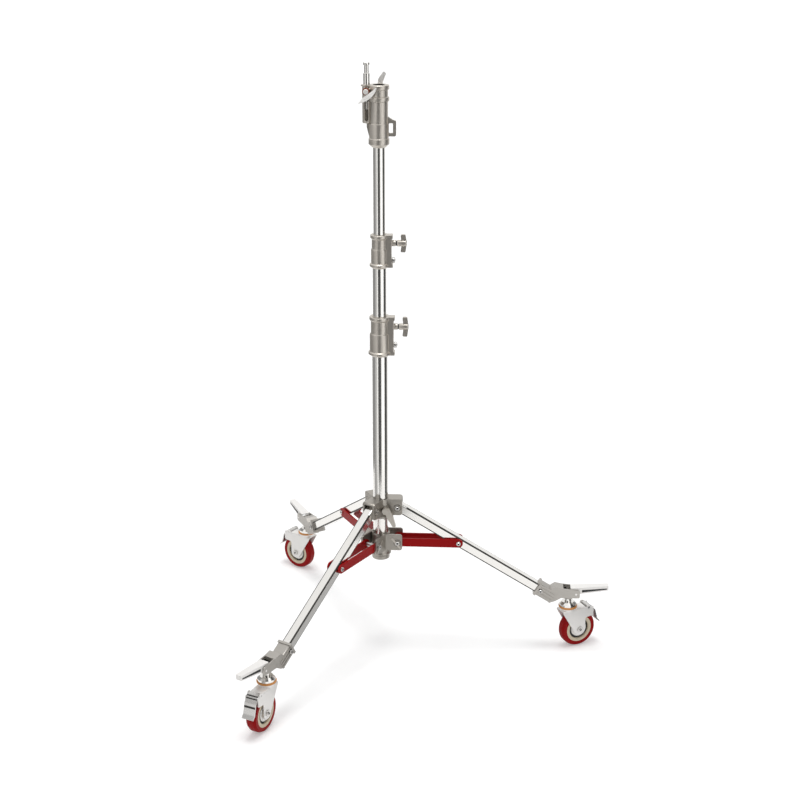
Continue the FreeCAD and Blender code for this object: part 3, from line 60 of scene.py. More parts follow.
# The legs by their turn about the column, in degrees. Places and directions are given for the
# first leg, which points along X, and are turned to the others.
LEGS = {"right": 0.0, "rear": 120.0, "front": 240.0}
SIDES = {"left": 1, "right": -1}
NODES = frame["nodes"]
UP = Vector((0, 0, 1))
MM = 0.001

# Lengths below are in millimetres unless a comment says otherwise. Outlines of turned pieces are
# radii and heights from the fitting's seat.

# Merging distances of a fitting's corners and of a CAD node's, and the bend in degrees from which
# an edge is softened.
FITTING_WELD, NODE_WELD = 0.001, 0.005
SHARP_ANGLE = 40

# The painted dark reflections along the legs' corners stand proud of the corner and reach under its
# face.
LINE_START, LINE_LENGTH = 21, 411
CORNER_RADIUS = 4.0
LINE_PROUD, LINE_UNDER = 0.15, 0.2
LINE_STEPS = 5
# Each line's side and level, and the stretch of its corner that it covers, in degrees.
CORNER_LINES = {
    "top_left": (1, 1, 8, 78),
    "top_right": (-1, 1, 8, 78),
    "low_left": (1, -1, 4, 86),
    "low_right": (-1, -1, 4, 86),
}
# A leg's fall and the reach that belongs to it.
LEG_FALL, LEG_REACH = 98.0, 161.0

# The nut under each telescope collar's knob: its body and its drop below the knob.
COLLAR_NUTS = {"column": ("base", 48), "middle": ("middle_section", 43)}
COLLAR_NUT = [(0, 0), (5.4, 0), (5.4, 1.6), (7.8, 1.6), (7.8, 7.2), (7.0, 8.4), (3.6, 8.4)]
COLLAR_NUT += [(2.9, 9.4), (0, 9.4)]
# The lip at the end of a telescope collar's clamp block.
BLOCK_LIP = 3.0

# The two hubs: the body of their ears and the ears' outer faces from the leg's middle plane.
HUBS = {"leg": ("sliding_collar", 17.8), "brace": ("base", 24.3)}
EAR_SEAT = [(5.7, 0), (9.0, 0), (8.6, 1.2), (5.7, 1.2), (5.7, 0)]
# A dark ring of painted shade round each ear's seat.
EAR_SHADE = [(9.7, 0), (9.7, 0.3), (8.9, 0.3), (8.9, 0), (9.7, 0)]
# The slanting rib of a lower ear, by its corners out from and above the pivot.
EAR_RIB = ((-17, 13), (-13, 15), (10, -14), (6, -16))
EAR_RIB_DEPTH = 1.3
# The hubs' clamp screws: height above the pivots and, in degrees, turn off the middle between legs.
HUB_SCREWS = {"high": (7, -12), "low": (-11, 10)}
BETWEEN_LEGS = 60
HUB_SCREW_SEAT = 24.4
HUB_SCREW_HEAD = [(0, 0), (4.6, 0), (4.6, 3.4), (4.0, 4.0), (2.4, 4.0), (2.4, 4.01)]
# The screw's socket, dark with painted shade.
HUB_SCREW_SOCKET = [(2.4, 4.01), (2.2, 2.6), (0, 2.6)]

# The small spigot's thread: its radii, where it starts and ends above the stud's foot, and the
# shares of a turn at which the crest starts, the crest ends and the next root starts.
THREAD_CORE, THREAD_ROOT, THREAD_CREST = 4.0, 4.76, 5.6
THREAD_START, THREAD_END = 1.0, 23
CREST_START, CREST_END, ROOT_START = 0.35, 0.55, 0.9
# The painted shade in the large spigot's bore, a thin dark sheet: its radii, the bore's depth, and
# how far the sheet stays below the rim and above the bore's floor, outside and inside.
SHADE_SHEET_OUTER, SHADE_SHEET_INNER = 14.27, 13.9
BORE_DEPTH = 95
SHADE_SHEET_DROP, SHADE_SHEET_RISE, SHADE_SHEET_FLOOR = 0.3, 0.1, 0.5
# The washer of the pin lever and its place behind the lever's front.
PIN_WASHER = [(6.3, 0), (9.0, 0), (9.0, 2.0), (6.3, 2.0), (6.3, 0)]
PIN_WASHER_DEPTH = 6.8

# The dark ring of painted shade on each wing knob's neck, in the gap below the knob's hub, and its
# place from the knob's outer end.
KNOB_RING = [(4.3, 0), (6.4, 0), (6.4, 3.0), (4.3, 3.0), (4.3, 0)]
KNOB_RING_PLACE = 27.1
# The crescent blade from its tip to its end, across and above the lever's pivot: its inner and its
# outer edge. A ridge runs along its front at a share of the width.
CRESCENT = (
    ((-18.6, -27.4), (-19.6, -28.6)),
    ((-13.4, -21.2), (-11.4, -27.0)),
    ((-7.2, -14.8), (-2.4, -23.6)),
    ((-0.6, -9.2), (6.4, -18.4)),
    ((6.4, -4.6), (13.8, -12.2)),
    ((13.4, 0.2), (19.8, -5.0)),
    ((19.4, 4.8), (24.4, 2.0)),
    ((23.2, 9.2), (26.2, 8.2)),
)
RIDGE_SHARE = 0.45
BLADE_DEPTH, BLADE_LIP = 6.0, 2.6
CRESCENT_HUB = [(0, 0.4), (4.8, 0.4), (6.2, 1.6), (6.2, 9.0), (4.0, 9.0)]
CRESCENT_SCREW = 4.0

# The strips of painted shade along the legs' levers: corners as shares of the lever's length and
# heights above its lower edge, then the lever's half width, and its taper and climb over its length.
LEVER_GROOVE = ((0.3, 3.2), (0.96, 3.2), (0.96, 6.6), (0.3, 10.6))
LEVER_HALF, LEVER_TAPER, LEVER_CLIMB = 13.12, 4.5, 13.5
LEVER_GROOVE_DEPTH = 0.6
# The recess in a leg end's arm: the height of its floor, its own height, and its side and back
# walls from the swivel's axis. The dark sheets of painted shade on its walls follow, the sides' with
# their two ends.
RECESS_FLOOR, RECESS_HEIGHT, RECESS_HALF, RECESS_BACK = 154.1, 12.5, 13.2, 13.8
BACK_SHADE_SHEET_HALF, BACK_SHADE_SHEET = 12.8, 0.5
SIDE_SHADE_SHEET_START, SIDE_SHADE_SHEET_END, SIDE_SHADE_SHEET = -13.2, -4, 0.15
STEM_END = [(0, -0.2), (5.6, -0.2), (5.0, 0.4), (0, 0.7)]

# The stretch round a pivot's axis that holds its bolt's head.
BOLT_REACH = 8

# A wheel's cover: the bright disc, the groove round it, dark with painted shade, and the wheel's
# raised ring.
WHEEL_DISC = [(5.6, 8.2), (5.6, 12.6), (20.8, 12.6), (22.4, 11.4), (22.4, 8.2)]
WHEEL_GROOVE = [(22.4, 8.2), (28.6, 8.2)]
WHEEL_RING = [(28.6, 8.2), (28.6, 13.0), (30.3, 13.0), (30.3, 7.0), (5.6, 7.0), (5.6, 8.2)]
WHEEL_SIDES = 64
AXLE_END = 23.05
# The grooves across a brake pedal, dark with painted shade: their edges out from and above its pin,
# and half their width.
PEDAL_GROOVES = (
    ((9.5, 2.3), (11.5, 0.0)),
    ((14.0, -2.8), (16.0, -5.1)),
    ((24.6, -19.5), (26.0, -24.5)),
)
PEDAL_HALF, PEDAL_LIFT, PEDAL_GROOVE_DEPTH = 15.2, 0.25, 0.8

# The floor's width in metres, its own light and the steps round each card's curve.
STAGE_SIZE = 80.0
FLOOR_GLOW = 0.3
CARD_STEPS = 12


class StandFinishes(bpy.types.PropertyGroup):
    """Colours of the stand's finishes, as sRGB hex values."""

    tube: bpy.props.StringProperty(
        name="Tubes", description="Bright plated steel of the tubes", default="#EDEBE7"
    )
    casting: bpy.props.StringProperty(
        name="Castings", description="Satin plated castings", default="#CBC5BC"
    )
    leg_end: bpy.props.StringProperty(
        name="Leg ends", description="Cast ends of the legs", default="#B6B2AC"
    )
    # Painted shade: a darker copy of the castings' colour for the hubs, their ear seats and the
    # column's foot cap.
    hub: bpy.props.StringProperty(
        name="Hubs", description="Aged plating of the leg collars", default="#ABA69E"
    )
    # Painted dark reflection along the legs' corners and painted shade in the pedals' grooves.
    painted_shade_line: bpy.props.StringProperty(
        name="Corners", description="Bare corners of the leg tubes", default="#3C3B38"
    )
    pressing: bpy.props.StringProperty(
        name="Pressings", description="Bright zinc of forks and levers", default="#F4F2EF"
    )
    fixing: bpy.props.StringProperty(
        name="Fixings", description="Zinc plated bolts and pedals", default="#CFCDCA"
    )
    washer: bpy.props.StringProperty(
        name="Washer", description="Copper washer of the spigot lever", default="#B8705A"
    )
    brace: bpy.props.StringProperty(
        name="Braces", description="Enamel of the braces", default="#9E0508"
    )
    tread: bpy.props.StringProperty(
        name="Treads", description="Polyurethane of the treads", default="#960407"
    )
    wheel: bpy.props.StringProperty(
        name="Wheel cores", description="Moulded nylon of the wheels", default="#D8CAB0"
    )
    seal: bpy.props.StringProperty(
        name="Seal rings", description="Moulded seal of the swivels", default="#CF8C48"
    )
    # Black of the bushes and guides, and also the painted shade in sockets, grooves, gaps and
    # recesses.
    liner: bpy.props.StringProperty(
        name="Bushes", description="Plastic bushes and guides", default="#1B1B1C"
    )
    floor: bpy.props.StringProperty(
        name="Floor", description="Floor of the studio", default="#E6E6E6"
    )


class StandStage(bpy.types.PropertyGroup):
    """Camera, lamps and floor of the studio."""

    eye: bpy.props.FloatVectorProperty(
        name="Camera",
        description="Place of the camera",
        default=(0.2445, -3.5874, 1.9666),
        subtype="TRANSLATION",
        unit="LENGTH",
    )
    heading: bpy.props.FloatProperty(
        name="Heading",
        description="Turn of the view to the left",
        default=math.radians(3.09),
        subtype="ANGLE",
    )
    pitch: bpy.props.FloatProperty(
        name="Pitch",
        description="Fall of the view below level",
        default=math.radians(19.511),
        subtype="ANGLE",
    )
    lens: bpy.props.FloatProperty(
        name="Lens", description="Focal length in millimetres", default=66.97
    )
    sun_angle: bpy.props.FloatProperty(
        name="Softness",
        description="Spread of the overhead lamp",
        default=math.radians(22),
        subtype="ANGLE",
    )
    sun_strength: bpy.props.FloatProperty(
        name="Overhead", description="Strength of the overhead lamp", default=1.35
    )
    sky: bpy.props.FloatProperty(
        name="Room", description="Strength of the light from all round", default=0.6
    )
    flag_distance: bpy.props.FloatProperty(
        name="Flags",
        description="Distance of the flags from the column",
        default=1.25,
        subtype="DISTANCE",
    )
    flag_height: bpy.props.FloatProperty(
        name="Flag height", description="Height of the flags", default=2.6, subtype="DISTANCE"
    )


class StandFittings(bpy.types.PropertyGroup):
    """Sizes of the small fittings and of the softened edges."""

    edge: bpy.props.FloatProperty(
        name="Edge",
        description="Softened edge of the castings",
        default=1.2 * MM,
        subtype="DISTANCE",
        precision=4,
    )
    hub_edge: bpy.props.FloatProperty(
        name="Hub edge",
        description="Softened edge of the leg collars",
        default=2.0 * MM,
        subtype="DISTANCE",
        precision=4,
    )
    socket: bpy.props.FloatProperty(
        name="Socket",
        description="Radius of the hexagon sockets",
        default=2.6 * MM,
        subtype="DISTANCE",
        precision=4,
    )
    thread_pitch: bpy.props.FloatProperty(
        name="Thread",
        description="Pitch of the spigot's thread",
        default=3.0 * MM,
        subtype="DISTANCE",
        precision=4,
    )


def linear(hex_colour):
    """The linear colour of an sRGB hex value, with full alpha."""
    channels = [int(hex_colour[i : i + 2], 16) / 255 for i in (1, 3, 5)]
    return [c / 12.92 if c <= 0.04045 else ((c + 0.055) / 1.055) ** 2.4 for c in channels] + [1.0]


def per_metre(millimetres):
    """The scale of a pattern whose features are that far apart."""
    return 1 / (millimetres * MM)


def add(tree, kind, links=(), **settings):
    """Adds a node. Settings name its properties or inputs, and links join (socket, its input)."""
    node = tree.nodes.new(kind)
    for key, value in settings.items():
        if hasattr(node, key):
            setattr(node, key, value)
        else:
            node.inputs[key.replace("_", " ")].default_value = value
    for source, target in links:
        tree.links.new(source, node.inputs[target])
    return node


def blank(name):
    """A material with an empty node tree."""
    material = bpy.data.materials.new(name)
    material.use_nodes = True
    material.node_tree.nodes.clear()
    return material, material.node_tree


def surface(
    name, hex_colour, metallic, roughness, spread, grain, relief, specular=0.5, tint=0.06, cloud=45
):
    """A finish whose colour, gloss and relief vary by a fine grain and by broad, faint clouds.

    Grain is the spacing of its texture, relief its depth and cloud the spacing of the clouds, in
    millimetres. The roughness goes up and down by its spread.
    """
    material, tree = blank(name)
    place = add(tree, "ShaderNodeTexCoord")
    spot = [(place.outputs["Object"], "Vector")]
    clouds = add(tree, "ShaderNodeTexNoise", spot, Scale=per_metre(cloud), Detail=3.0)
    fine = add(tree, "ShaderNodeTexNoise", spot, Scale=per_metre(grain), Detail=4.0)
    base = linear(hex_colour)
    dim = [c * (1 - tint) for c in base[:3]] + [1.0]
    colour = add(tree, "ShaderNodeMix", [(clouds.outputs["Fac"], "Factor")], data_type="RGBA")
    colour.inputs["A"].default_value = dim
    colour.inputs["B"].default_value = base
    gloss = add(
        tree,
        "ShaderNodeMapRange",
        [(fine.outputs["Fac"], "Value")],
        To_Min=roughness - spread,
        To_Max=roughness + spread,
    )
    height = [(fine.outputs["Fac"], "Height")]
    bump = add(tree, "ShaderNodeBump", height, Strength=0.5, Distance=relief * MM)
    shader = add(
        tree,
        "ShaderNodeBsdfPrincipled",
        [
            (colour.outputs["Result"], "Base Color"),
            (gloss.outputs["Result"], "Roughness"),
            (bump.outputs["Normal"], "Normal"),
        ],
        Metallic=metallic,
    )
    shader.inputs["Specular IOR Level"].default_value = specular
    add(tree, "ShaderNodeOutputMaterial", [(shader.outputs["BSDF"], "Surface")])
    return material


def finish(name):
    """The material of a finish, made when it is first asked for.

    A recipe holds colour, metallic, roughness and its spread, grain, relief and specular level.
    """
    if name in bpy.data.materials:
        return bpy.data.materials[name]
    look = bpy.context.scene.stand_finishes
    recipes = {
        # Chromium over polished steel: sharp, slightly warm reflections with hardly any grain.
        "bright_chromed_steel": (look.tube, 1.0, 0.13, 0.03, 1.5, 0.004),
        # Nickel over blasted castings: broad, soft highlights on a fine even grain.
        "satin_nickel_casting": (look.casting, 0.9, 0.38, 0.05, 1.2, 0.03),
        # The same nickel, darker: painted shade on the hubs, their ear seats and the column's foot
        # cap.
        "shaded_nickel_casting": (look.hub, 0.9, 0.4, 0.06, 1.2, 0.03),
        # Painted dark reflection along the legs' corners and painted shade in the pedals' grooves:
        # dark and rather dull.
        "painted_shade_steel": (look.painted_shade_line, 0.6, 0.4, 0.08, 1.5, 0.01),
        # Die-cast aluminium, tumbled: greyer than the nickel, with a coarser grain.
        "tumbled_aluminium_casting": (look.leg_end, 0.85, 0.4, 0.07, 1.6, 0.05),
        # Bright zinc over pressed steel sheet: almost white, with a soft gloss.
        "bright_zinc_pressing": (look.pressing, 0.25, 0.36, 0.06, 2.5, 0.01),
        # Zinc plated steel, as bought: slightly cloudy, with a clear shine.
        "zinc_plated_steel": (look.fixing, 1.0, 0.28, 0.08, 2.5, 0.01),
        # Annealed copper sheet: pinkish and dull.
        "annealed_copper": (look.washer, 1.0, 0.42, 0.06, 1.5, 0.01),
        # Red stoving enamel on flat bar: a soft gloss, with a faint orange peel.
        "red_stove_enamel": (look.brace, 0.0, 0.36, 0.05, 3.0, 0.03, 0.12),
        # Cast polyurethane: a deep red with a soft shine.
        "cast_polyurethane": (look.tread, 0.0, 0.46, 0.06, 4.0, 0.03, 0.12),
        # Moulded nylon, cream: an even, waxy shine.
        "moulded_nylon": (look.wheel, 0.0, 0.42, 0.05, 3.0, 0.02),
        # Moulded acetal in a copper colour: smooth, with a plain gloss.
        "moulded_acetal": (look.seal, 0.0, 0.35, 0.05, 3.0, 0.01),
        # Black acetal of bushes and guides, and the painted shade in sockets, grooves, gaps and
        # recesses: dull and dark.
        "black_acetal_and_painted_shade": (look.liner, 0.0, 0.5, 0.05, 1.5, 0.02),
    }
    return surface(name, *recipes[name])


def paint(node, material):
    """Gives a CAD node its finish."""
    slots = NODES[node].data.materials
    slots.clear()
    slots.append(finish(material))


def soften(node, width):
    """Rounds a CAD node's sharp edges by modifiers, so that they catch the light."""
    piece = NODES[node]
    weld = piece.modifiers.new("joined", "WELD")
    weld.merge_threshold = NODE_WELD * MM
    bevel = piece.modifiers.new("edges", "BEVEL")
    bevel.width = width
    bevel.segments = 2
    bevel.limit_method = "ANGLE"
    bevel.angle_limit = math.radians(SHARP_ANGLE)
    bevel.harden_normals = True


def each_leg(*names):
    """The nodes of these names on every leg."""
    return [f"{name}_{leg}" for name in names for leg in LEGS]


def joint(name):
    """The place and the axis of one of the frame's joints."""
    found = next(entry for entry in frame["joints"] if entry["name"] == name)
    return Vector(found["pos_m"]), Vector(found["axis"]).normalized()


def turn(leg):
    """The turn about the column's axis that brings the first leg to this one."""
    return Matrix.Rotation(math.radians(LEGS[leg]), 4, "Z")


def facing(leg, direction):
    """A direction that is given for the first leg, turned to this one."""
    return turn(leg).to_3x3() @ Vector(direction)


def aim(point, direction):
    """The placement whose Z axis runs along a direction from a point."""
    tilt = Vector(direction).to_track_quat("Z", "Y")
    return Matrix.Translation(point) @ tilt.to_matrix().to_4x4()


def fit(name, vertices, faces, materials, indices, body):
    """Makes a small fitting of its faces and lets it ride on a body."""
    mesh = bpy.data.meshes.new(name)
    mesh.from_pydata(vertices, [], faces)
    for material in materials:
        mesh.materials.append(finish(material))
    mesh.polygons.foreach_set("material_index", indices)
    shaper = bmesh.new()
    shaper.from_mesh(mesh)
    bmesh.ops.remove_doubles(shaper, verts=shaper.verts, dist=FITTING_WELD * MM)
    bmesh.ops.recalc_face_normals(shaper, faces=shaper.faces)
    shaper.to_mesh(mesh)
    shaper.free()
    piece = bpy.data.objects.new(name, mesh)
    bpy.context.scene.collection.objects.link(piece)
    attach(piece, body)
    return piece


def turned(name, bands, placement, body, sides=40):
    """A turned piece, or a hexagonal one with six sides.

    Bands hold a material and its stretch of the outline, as radii and heights in millimetres.
    """
    vertices, faces, indices = [], [], []
    for index, (_, outline) in enumerate(bands):
        for (low_radius, low), (high_radius, high) in zip(outline, outline[1:]):
            for side in range(sides):
                corners = []
                for radius, height, step in (
                    (low_radius, low, side),
                    (low_radius, low, side + 1),
                    (high_radius, high, side + 1),
                    (high_radius, high, side),
                ):
                    angle = math.tau * step / sides
                    spot = Vector((radius * math.cos(angle), radius * math.sin(angle), height)) * MM
                    if spot not in corners:
                        corners.append(spot)
                faces.append(range(len(vertices), len(vertices) + len(corners)))
                vertices += [placement @ corner for corner in corners]
                indices.append(index)
    return fit(name, vertices, faces, [material for material, _ in bands], indices, body)


def slab(name, corners, depth, material, body):
    """A flat piece: its outline's corners, and the vector through its thickness."""
    count = len(corners)
    vertices = [*corners, *(corner + depth for corner in corners)]
    faces = [range(count), range(count, 2 * count)]
    faces += [(i, (i + 1) % count, (i + 1) % count + count, i + count) for i in range(count)]
    return fit(name, vertices, faces, [material], [0] * len(faces), body)


def socket_head(name, end, direction, body):
    """The hexagon socket in a bolt's head, dark with painted shade, with the head's raised rim round
    it.
    """
    socket = bpy.context.scene.stand_fittings.socket / MM
    mouth, rim, foot = socket * 1.08, socket * 1.45, socket * 1.6
    bands = [
        ("black_acetal_and_painted_shade", [(0, 0.12), (socket, 0.12), (mouth, 0.5)]),
        ("zinc_plated_steel", [(mouth, 0.5), (rim, 0.5), (foot, 0.02), (0, 0.02)]),
    ]
    turned(name, bands, aim(end, direction), body, sides=6)


def bolt_sockets(name, box, leg, body):
    """The sockets at both ends of a leg's cross bolts, whose box is given for the first leg."""
    low, high = box
    for side, reach in (("left", high[1]), ("right", low[1])):
        spot = Vector(((low[0] + high[0]) / 2, reach, (low[2] + high[2]) / 2))
        socket_head(f"{name}_{side}_{leg}", turn(leg) @ spot, facing(leg, (0, reach, 0)), body)


class STAND_OT_tubes(bpy.types.Operator):
    """The column, the risers and the legs: bright tubes"""

    bl_idname = "light_stand.tubes"
    bl_label = "Tubes"

    def execute(self, context):
        for node in ["lower_column", "middle_riser", "upper_riser", *each_leg("leg")]:
            paint(node, "bright_chromed_steel")
        low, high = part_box("leg_right")
        for leg in LEGS:
            for corner in CORNER_LINES:
                self.corner_line(corner, leg, (high[1] - low[1]) / 2)
        return {"FINISHED"}

    def corner_line(self, corner, leg, half):
        """The painted dark reflection along one corner of a leg of this half width."""
        side, level, first, last = CORNER_LINES[corner]
        pivot, _ = joint("right_leg_fold")
        slope = math.atan2(LEG_FALL, LEG_REACH)
        along = Vector((math.cos(slope), 0, -math.sin(slope)))
        rise = Vector((math.sin(slope), 0, math.cos(slope))) * level
        across = Vector((0, 1, 0)) * side
        centre = (across + rise) * (half - CORNER_RADIUS * MM)
        rim = []
        for radius, steps in (
            (CORNER_RADIUS + LINE_PROUD, range(LINE_STEPS + 1)),
            (CORNER_RADIUS - LINE_UNDER, range(LINE_STEPS, -1, -1)),
        ):
            for step in steps:
                angle = math.radians(first + (last - first) * step / LINE_STEPS)
                spot = across * math.cos(angle) + rise * math.sin(angle)
                rim.append(centre + spot * radius * MM)
        start = pivot + along * LINE_START * MM
        outline = [turn(leg) @ (start + spot) for spot in rim]
        run = facing(leg, along) * LINE_LENGTH * MM
        name = f"leg_corner_{corner}_{leg}"
        slab(name, outline, run, "painted_shade_steel", f"{leg}_leg")


class STAND_OT_collars(bpy.types.Operator):
    """The telescope collars and leg collars: satin castings with plastic bushes"""

    bl_idname = "light_stand.collars"
    bl_label = "Collars"

    def execute(self, context):
        sizes = context.scene.stand_fittings
        for node in ["column_collar", "middle_collar", "receiver"]:
            paint(node, "satin_nickel_casting")
            soften(node, sizes.edge)
        # The hubs and the foot cap get the darker copy of the nickel: painted shade.
        for node in ["brace_collar", "leg_collar"]:
            paint(node, "shaded_nickel_casting")
            soften(node, sizes.hub_edge)
        paint("column_foot_cap", "shaded_nickel_casting")
        for node in ["column_bush", "middle_bush", "middle_guide", "upper_guide"]:
            paint(node, "black_acetal_and_painted_shade")
        for collar, (body, drop) in COLLAR_NUTS.items():
            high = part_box(f"{collar}_collar")[1]
            knob_low, knob_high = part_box(f"{collar}_knob")
            height = (knob_low[2] + knob_high[2]) / 2 - drop * MM
            place = aim((high[0] - BLOCK_LIP * MM, 0, height), (1, 0, 0))
            bands = [("zinc_plated_steel", COLLAR_NUT)]
            turned(f"{collar}_collar_nut", bands, place, body, sides=12)
        for hub in HUBS:
            for leg in LEGS:
                for side in SIDES:
                    self.ear_fittings(hub, leg, side)
                self.clamp_screws(hub, leg)
        return {"FINISHED"}

    def ear_fittings(self, hub, leg, side):
        """The raised seat round an ear's pivot bolt with a dark ring of painted shade round it, and
        the rib on each lower ear.
        """
        body, face = HUBS[hub]
        pivot, _ = joint(f"right_{hub}_fold")
        spot = turn(leg) @ (pivot + Vector((0, SIDES[side] * face * MM, 0)))
        away = facing(leg, (0, SIDES[side], 0))
        bands = [("shaded_nickel_casting", EAR_SEAT), ("black_acetal_and_painted_shade", EAR_SHADE)]
        turned(f"{hub}_ear_seat_{side}_{leg}", bands, aim(spot, away), body)
        if hub == "brace":
            rib = [spot + facing(leg, (x, 0, z)) * MM for x, z in EAR_RIB]
            depth = away * EAR_RIB_DEPTH * MM
            slab(f"ear_rib_{side}_{leg}", rib, depth, "satin_nickel_casting", body)

    def clamp_screws(self, hub, leg):
        """The clamp screws of a hub in the space after a leg."""
        body, _ = HUBS[hub]
        pivot, _ = joint(f"right_{hub}_fold")
        for place, (rise, lean) in HUB_SCREWS.items():
            # The sliding collar's clamp lever sweeps over one of the places.
            if (hub, leg, place) == ("leg", "front", "high"):
                continue
            angle = math.radians(LEGS[leg] + BETWEEN_LEGS + lean)
            away = Vector((math.cos(angle), math.sin(angle), 0))
            spot = Vector((0, 0, pivot.z + rise * MM)) + away * HUB_SCREW_SEAT * MM
            bands = [("zinc_plated_steel", HUB_SCREW_HEAD), ("black_acetal_and_painted_shade", HUB_SCREW_SOCKET)]
            turned(f"{hub}_hub_screw_{place}_{leg}", bands, aim(spot, away), body)


class STAND_OT_receiver(bpy.types.Operator):
    """The head's fittings: the spigot's thread, the painted shade in the bore and a lever's washer"""

    bl_idname = "light_stand.receiver"
    bl_label = "Head"

    def execute(self, context):
        low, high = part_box("spigot_pin")
        centre = ((low[0] + high[0]) / 2, (low[1] + high[1]) / 2)
        thread = self.thread(low[2] / MM, context.scene.stand_fittings.thread_pitch / MM)
        place = Matrix.Translation((*centre, 0))
        turned("spigot_thread", [("bright_chromed_steel", thread)], place, "loose_pin")
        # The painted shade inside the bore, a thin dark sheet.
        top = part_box("receiver")[1][2] / MM
        floor = top - BORE_DEPTH
        shade_sheet = [
            (0, floor + SHADE_SHEET_RISE),
            (SHADE_SHEET_OUTER, floor + SHADE_SHEET_RISE),
            (SHADE_SHEET_OUTER, top - SHADE_SHEET_DROP),
            (SHADE_SHEET_INNER, top - SHADE_SHEET_DROP),
            (SHADE_SHEET_INNER, floor + SHADE_SHEET_FLOOR),
            (0, floor + SHADE_SHEET_FLOOR),
        ]
        turned("bore_shade_sheet", [("black_acetal_and_painted_shade", shade_sheet)], Matrix(), "upper_section")
        pivot, _ = joint("pin_lever_turn")
        seat = (centre[0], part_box("pin_lever")[0][1] + PIN_WASHER_DEPTH * MM, pivot.z)
        bands = [("annealed_copper", PIN_WASHER)]
        turned("pin_lever_washer", bands, aim(seat, (0, 1, 0)), "upper_section")
        return {"FINISHED"}

    def thread(self, foot, pitch):
        """The outline of the spigot's thread, closed along its core."""
        start = foot + THREAD_START
        outline = [(THREAD_CORE, start), (THREAD_ROOT, start)]
        while start + pitch < foot + THREAD_END:
            outline += [
                (THREAD_CREST, start + pitch * CREST_START),
                (THREAD_CREST, start + pitch * CREST_END),
                (THREAD_ROOT, start + pitch * ROOT_START),
                (THREAD_ROOT, start + pitch),
            ]
            start += pitch
        return [*outline, (THREAD_CORE, start), outline[0]]


class STAND_OT_levers(bpy.types.Operator):
    """The clamp knobs and levers of the head, the telescope collars and the sliding collar"""

    bl_idname = "light_stand.levers"
    bl_label = "Knobs and levers"

    def execute(self, context):
        edge = context.scene.stand_fittings.edge
        for node in ["column_knob", "middle_knob", "leg_collar_lever"]:
            paint(node, "satin_nickel_casting")
            soften(node, edge)
        paint("receiver_lever", "bright_zinc_pressing")
        soften("receiver_lever", edge)
        self.crescent()
        paint("spigot_pin", "bright_chromed_steel")
        # A dark ring of painted shade on each knob's neck.
        for name in COLLAR_NUTS:
            low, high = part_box(f"{name}_knob")
            place = aim((high[0] - KNOB_RING_PLACE * MM, 0, (low[2] + high[2]) / 2), (1, 0, 0))
            bands = [("black_acetal_and_painted_shade", KNOB_RING)]
            turned(f"{name}_knob_ring", bands, place, f"{name}_clamp")
        return {"FINISHED"}

    def crescent(self):
        """The small spigot's lever with its ridged crescent blade, hub and screw."""
        pivot, _ = joint("pin_lever_turn")
        low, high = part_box("pin_lever")
        front = Vector((pivot.x, low[1], pivot.z))
        vertices, faces = [], []
        for inner, outer in CRESCENT:
            ridge = [a * (1 - RIDGE_SHARE) + b * RIDGE_SHARE for a, b in zip(inner, outer)]
            for (across, up), back in (
                (inner, BLADE_DEPTH),
                (inner, BLADE_LIP),
                (ridge, 0.0),
                (outer, BLADE_LIP),
                (outer, BLADE_DEPTH),
            ):
                vertices.append(front + Vector((across, back, up)) * MM)
        ring = len(vertices) // len(CRESCENT)
        last = len(vertices) - ring
        for start in range(0, last, ring):
            for side in range(ring):
                after = (side + 1) % ring
                near = (start + side, start + after)
                faces.append((*near, start + after + ring, start + side + ring))
        faces += [range(ring), range(last, len(vertices))]
        materials, indices = ["bright_zinc_pressing"], [0] * len(faces)
        blade = fit("crescent_blade", vertices, faces, materials, indices, "pin_clamp")
        depth = (high[1] - low[1]) / MM
        hub = [*CRESCENT_HUB, (CRESCENT_SCREW, depth), (0, depth)]
        bands = [("bright_zinc_pressing", hub)]
        turned("crescent_hub", bands, aim(front, (0, 1, 0)), "pin_clamp")
        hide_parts("pin_lever")


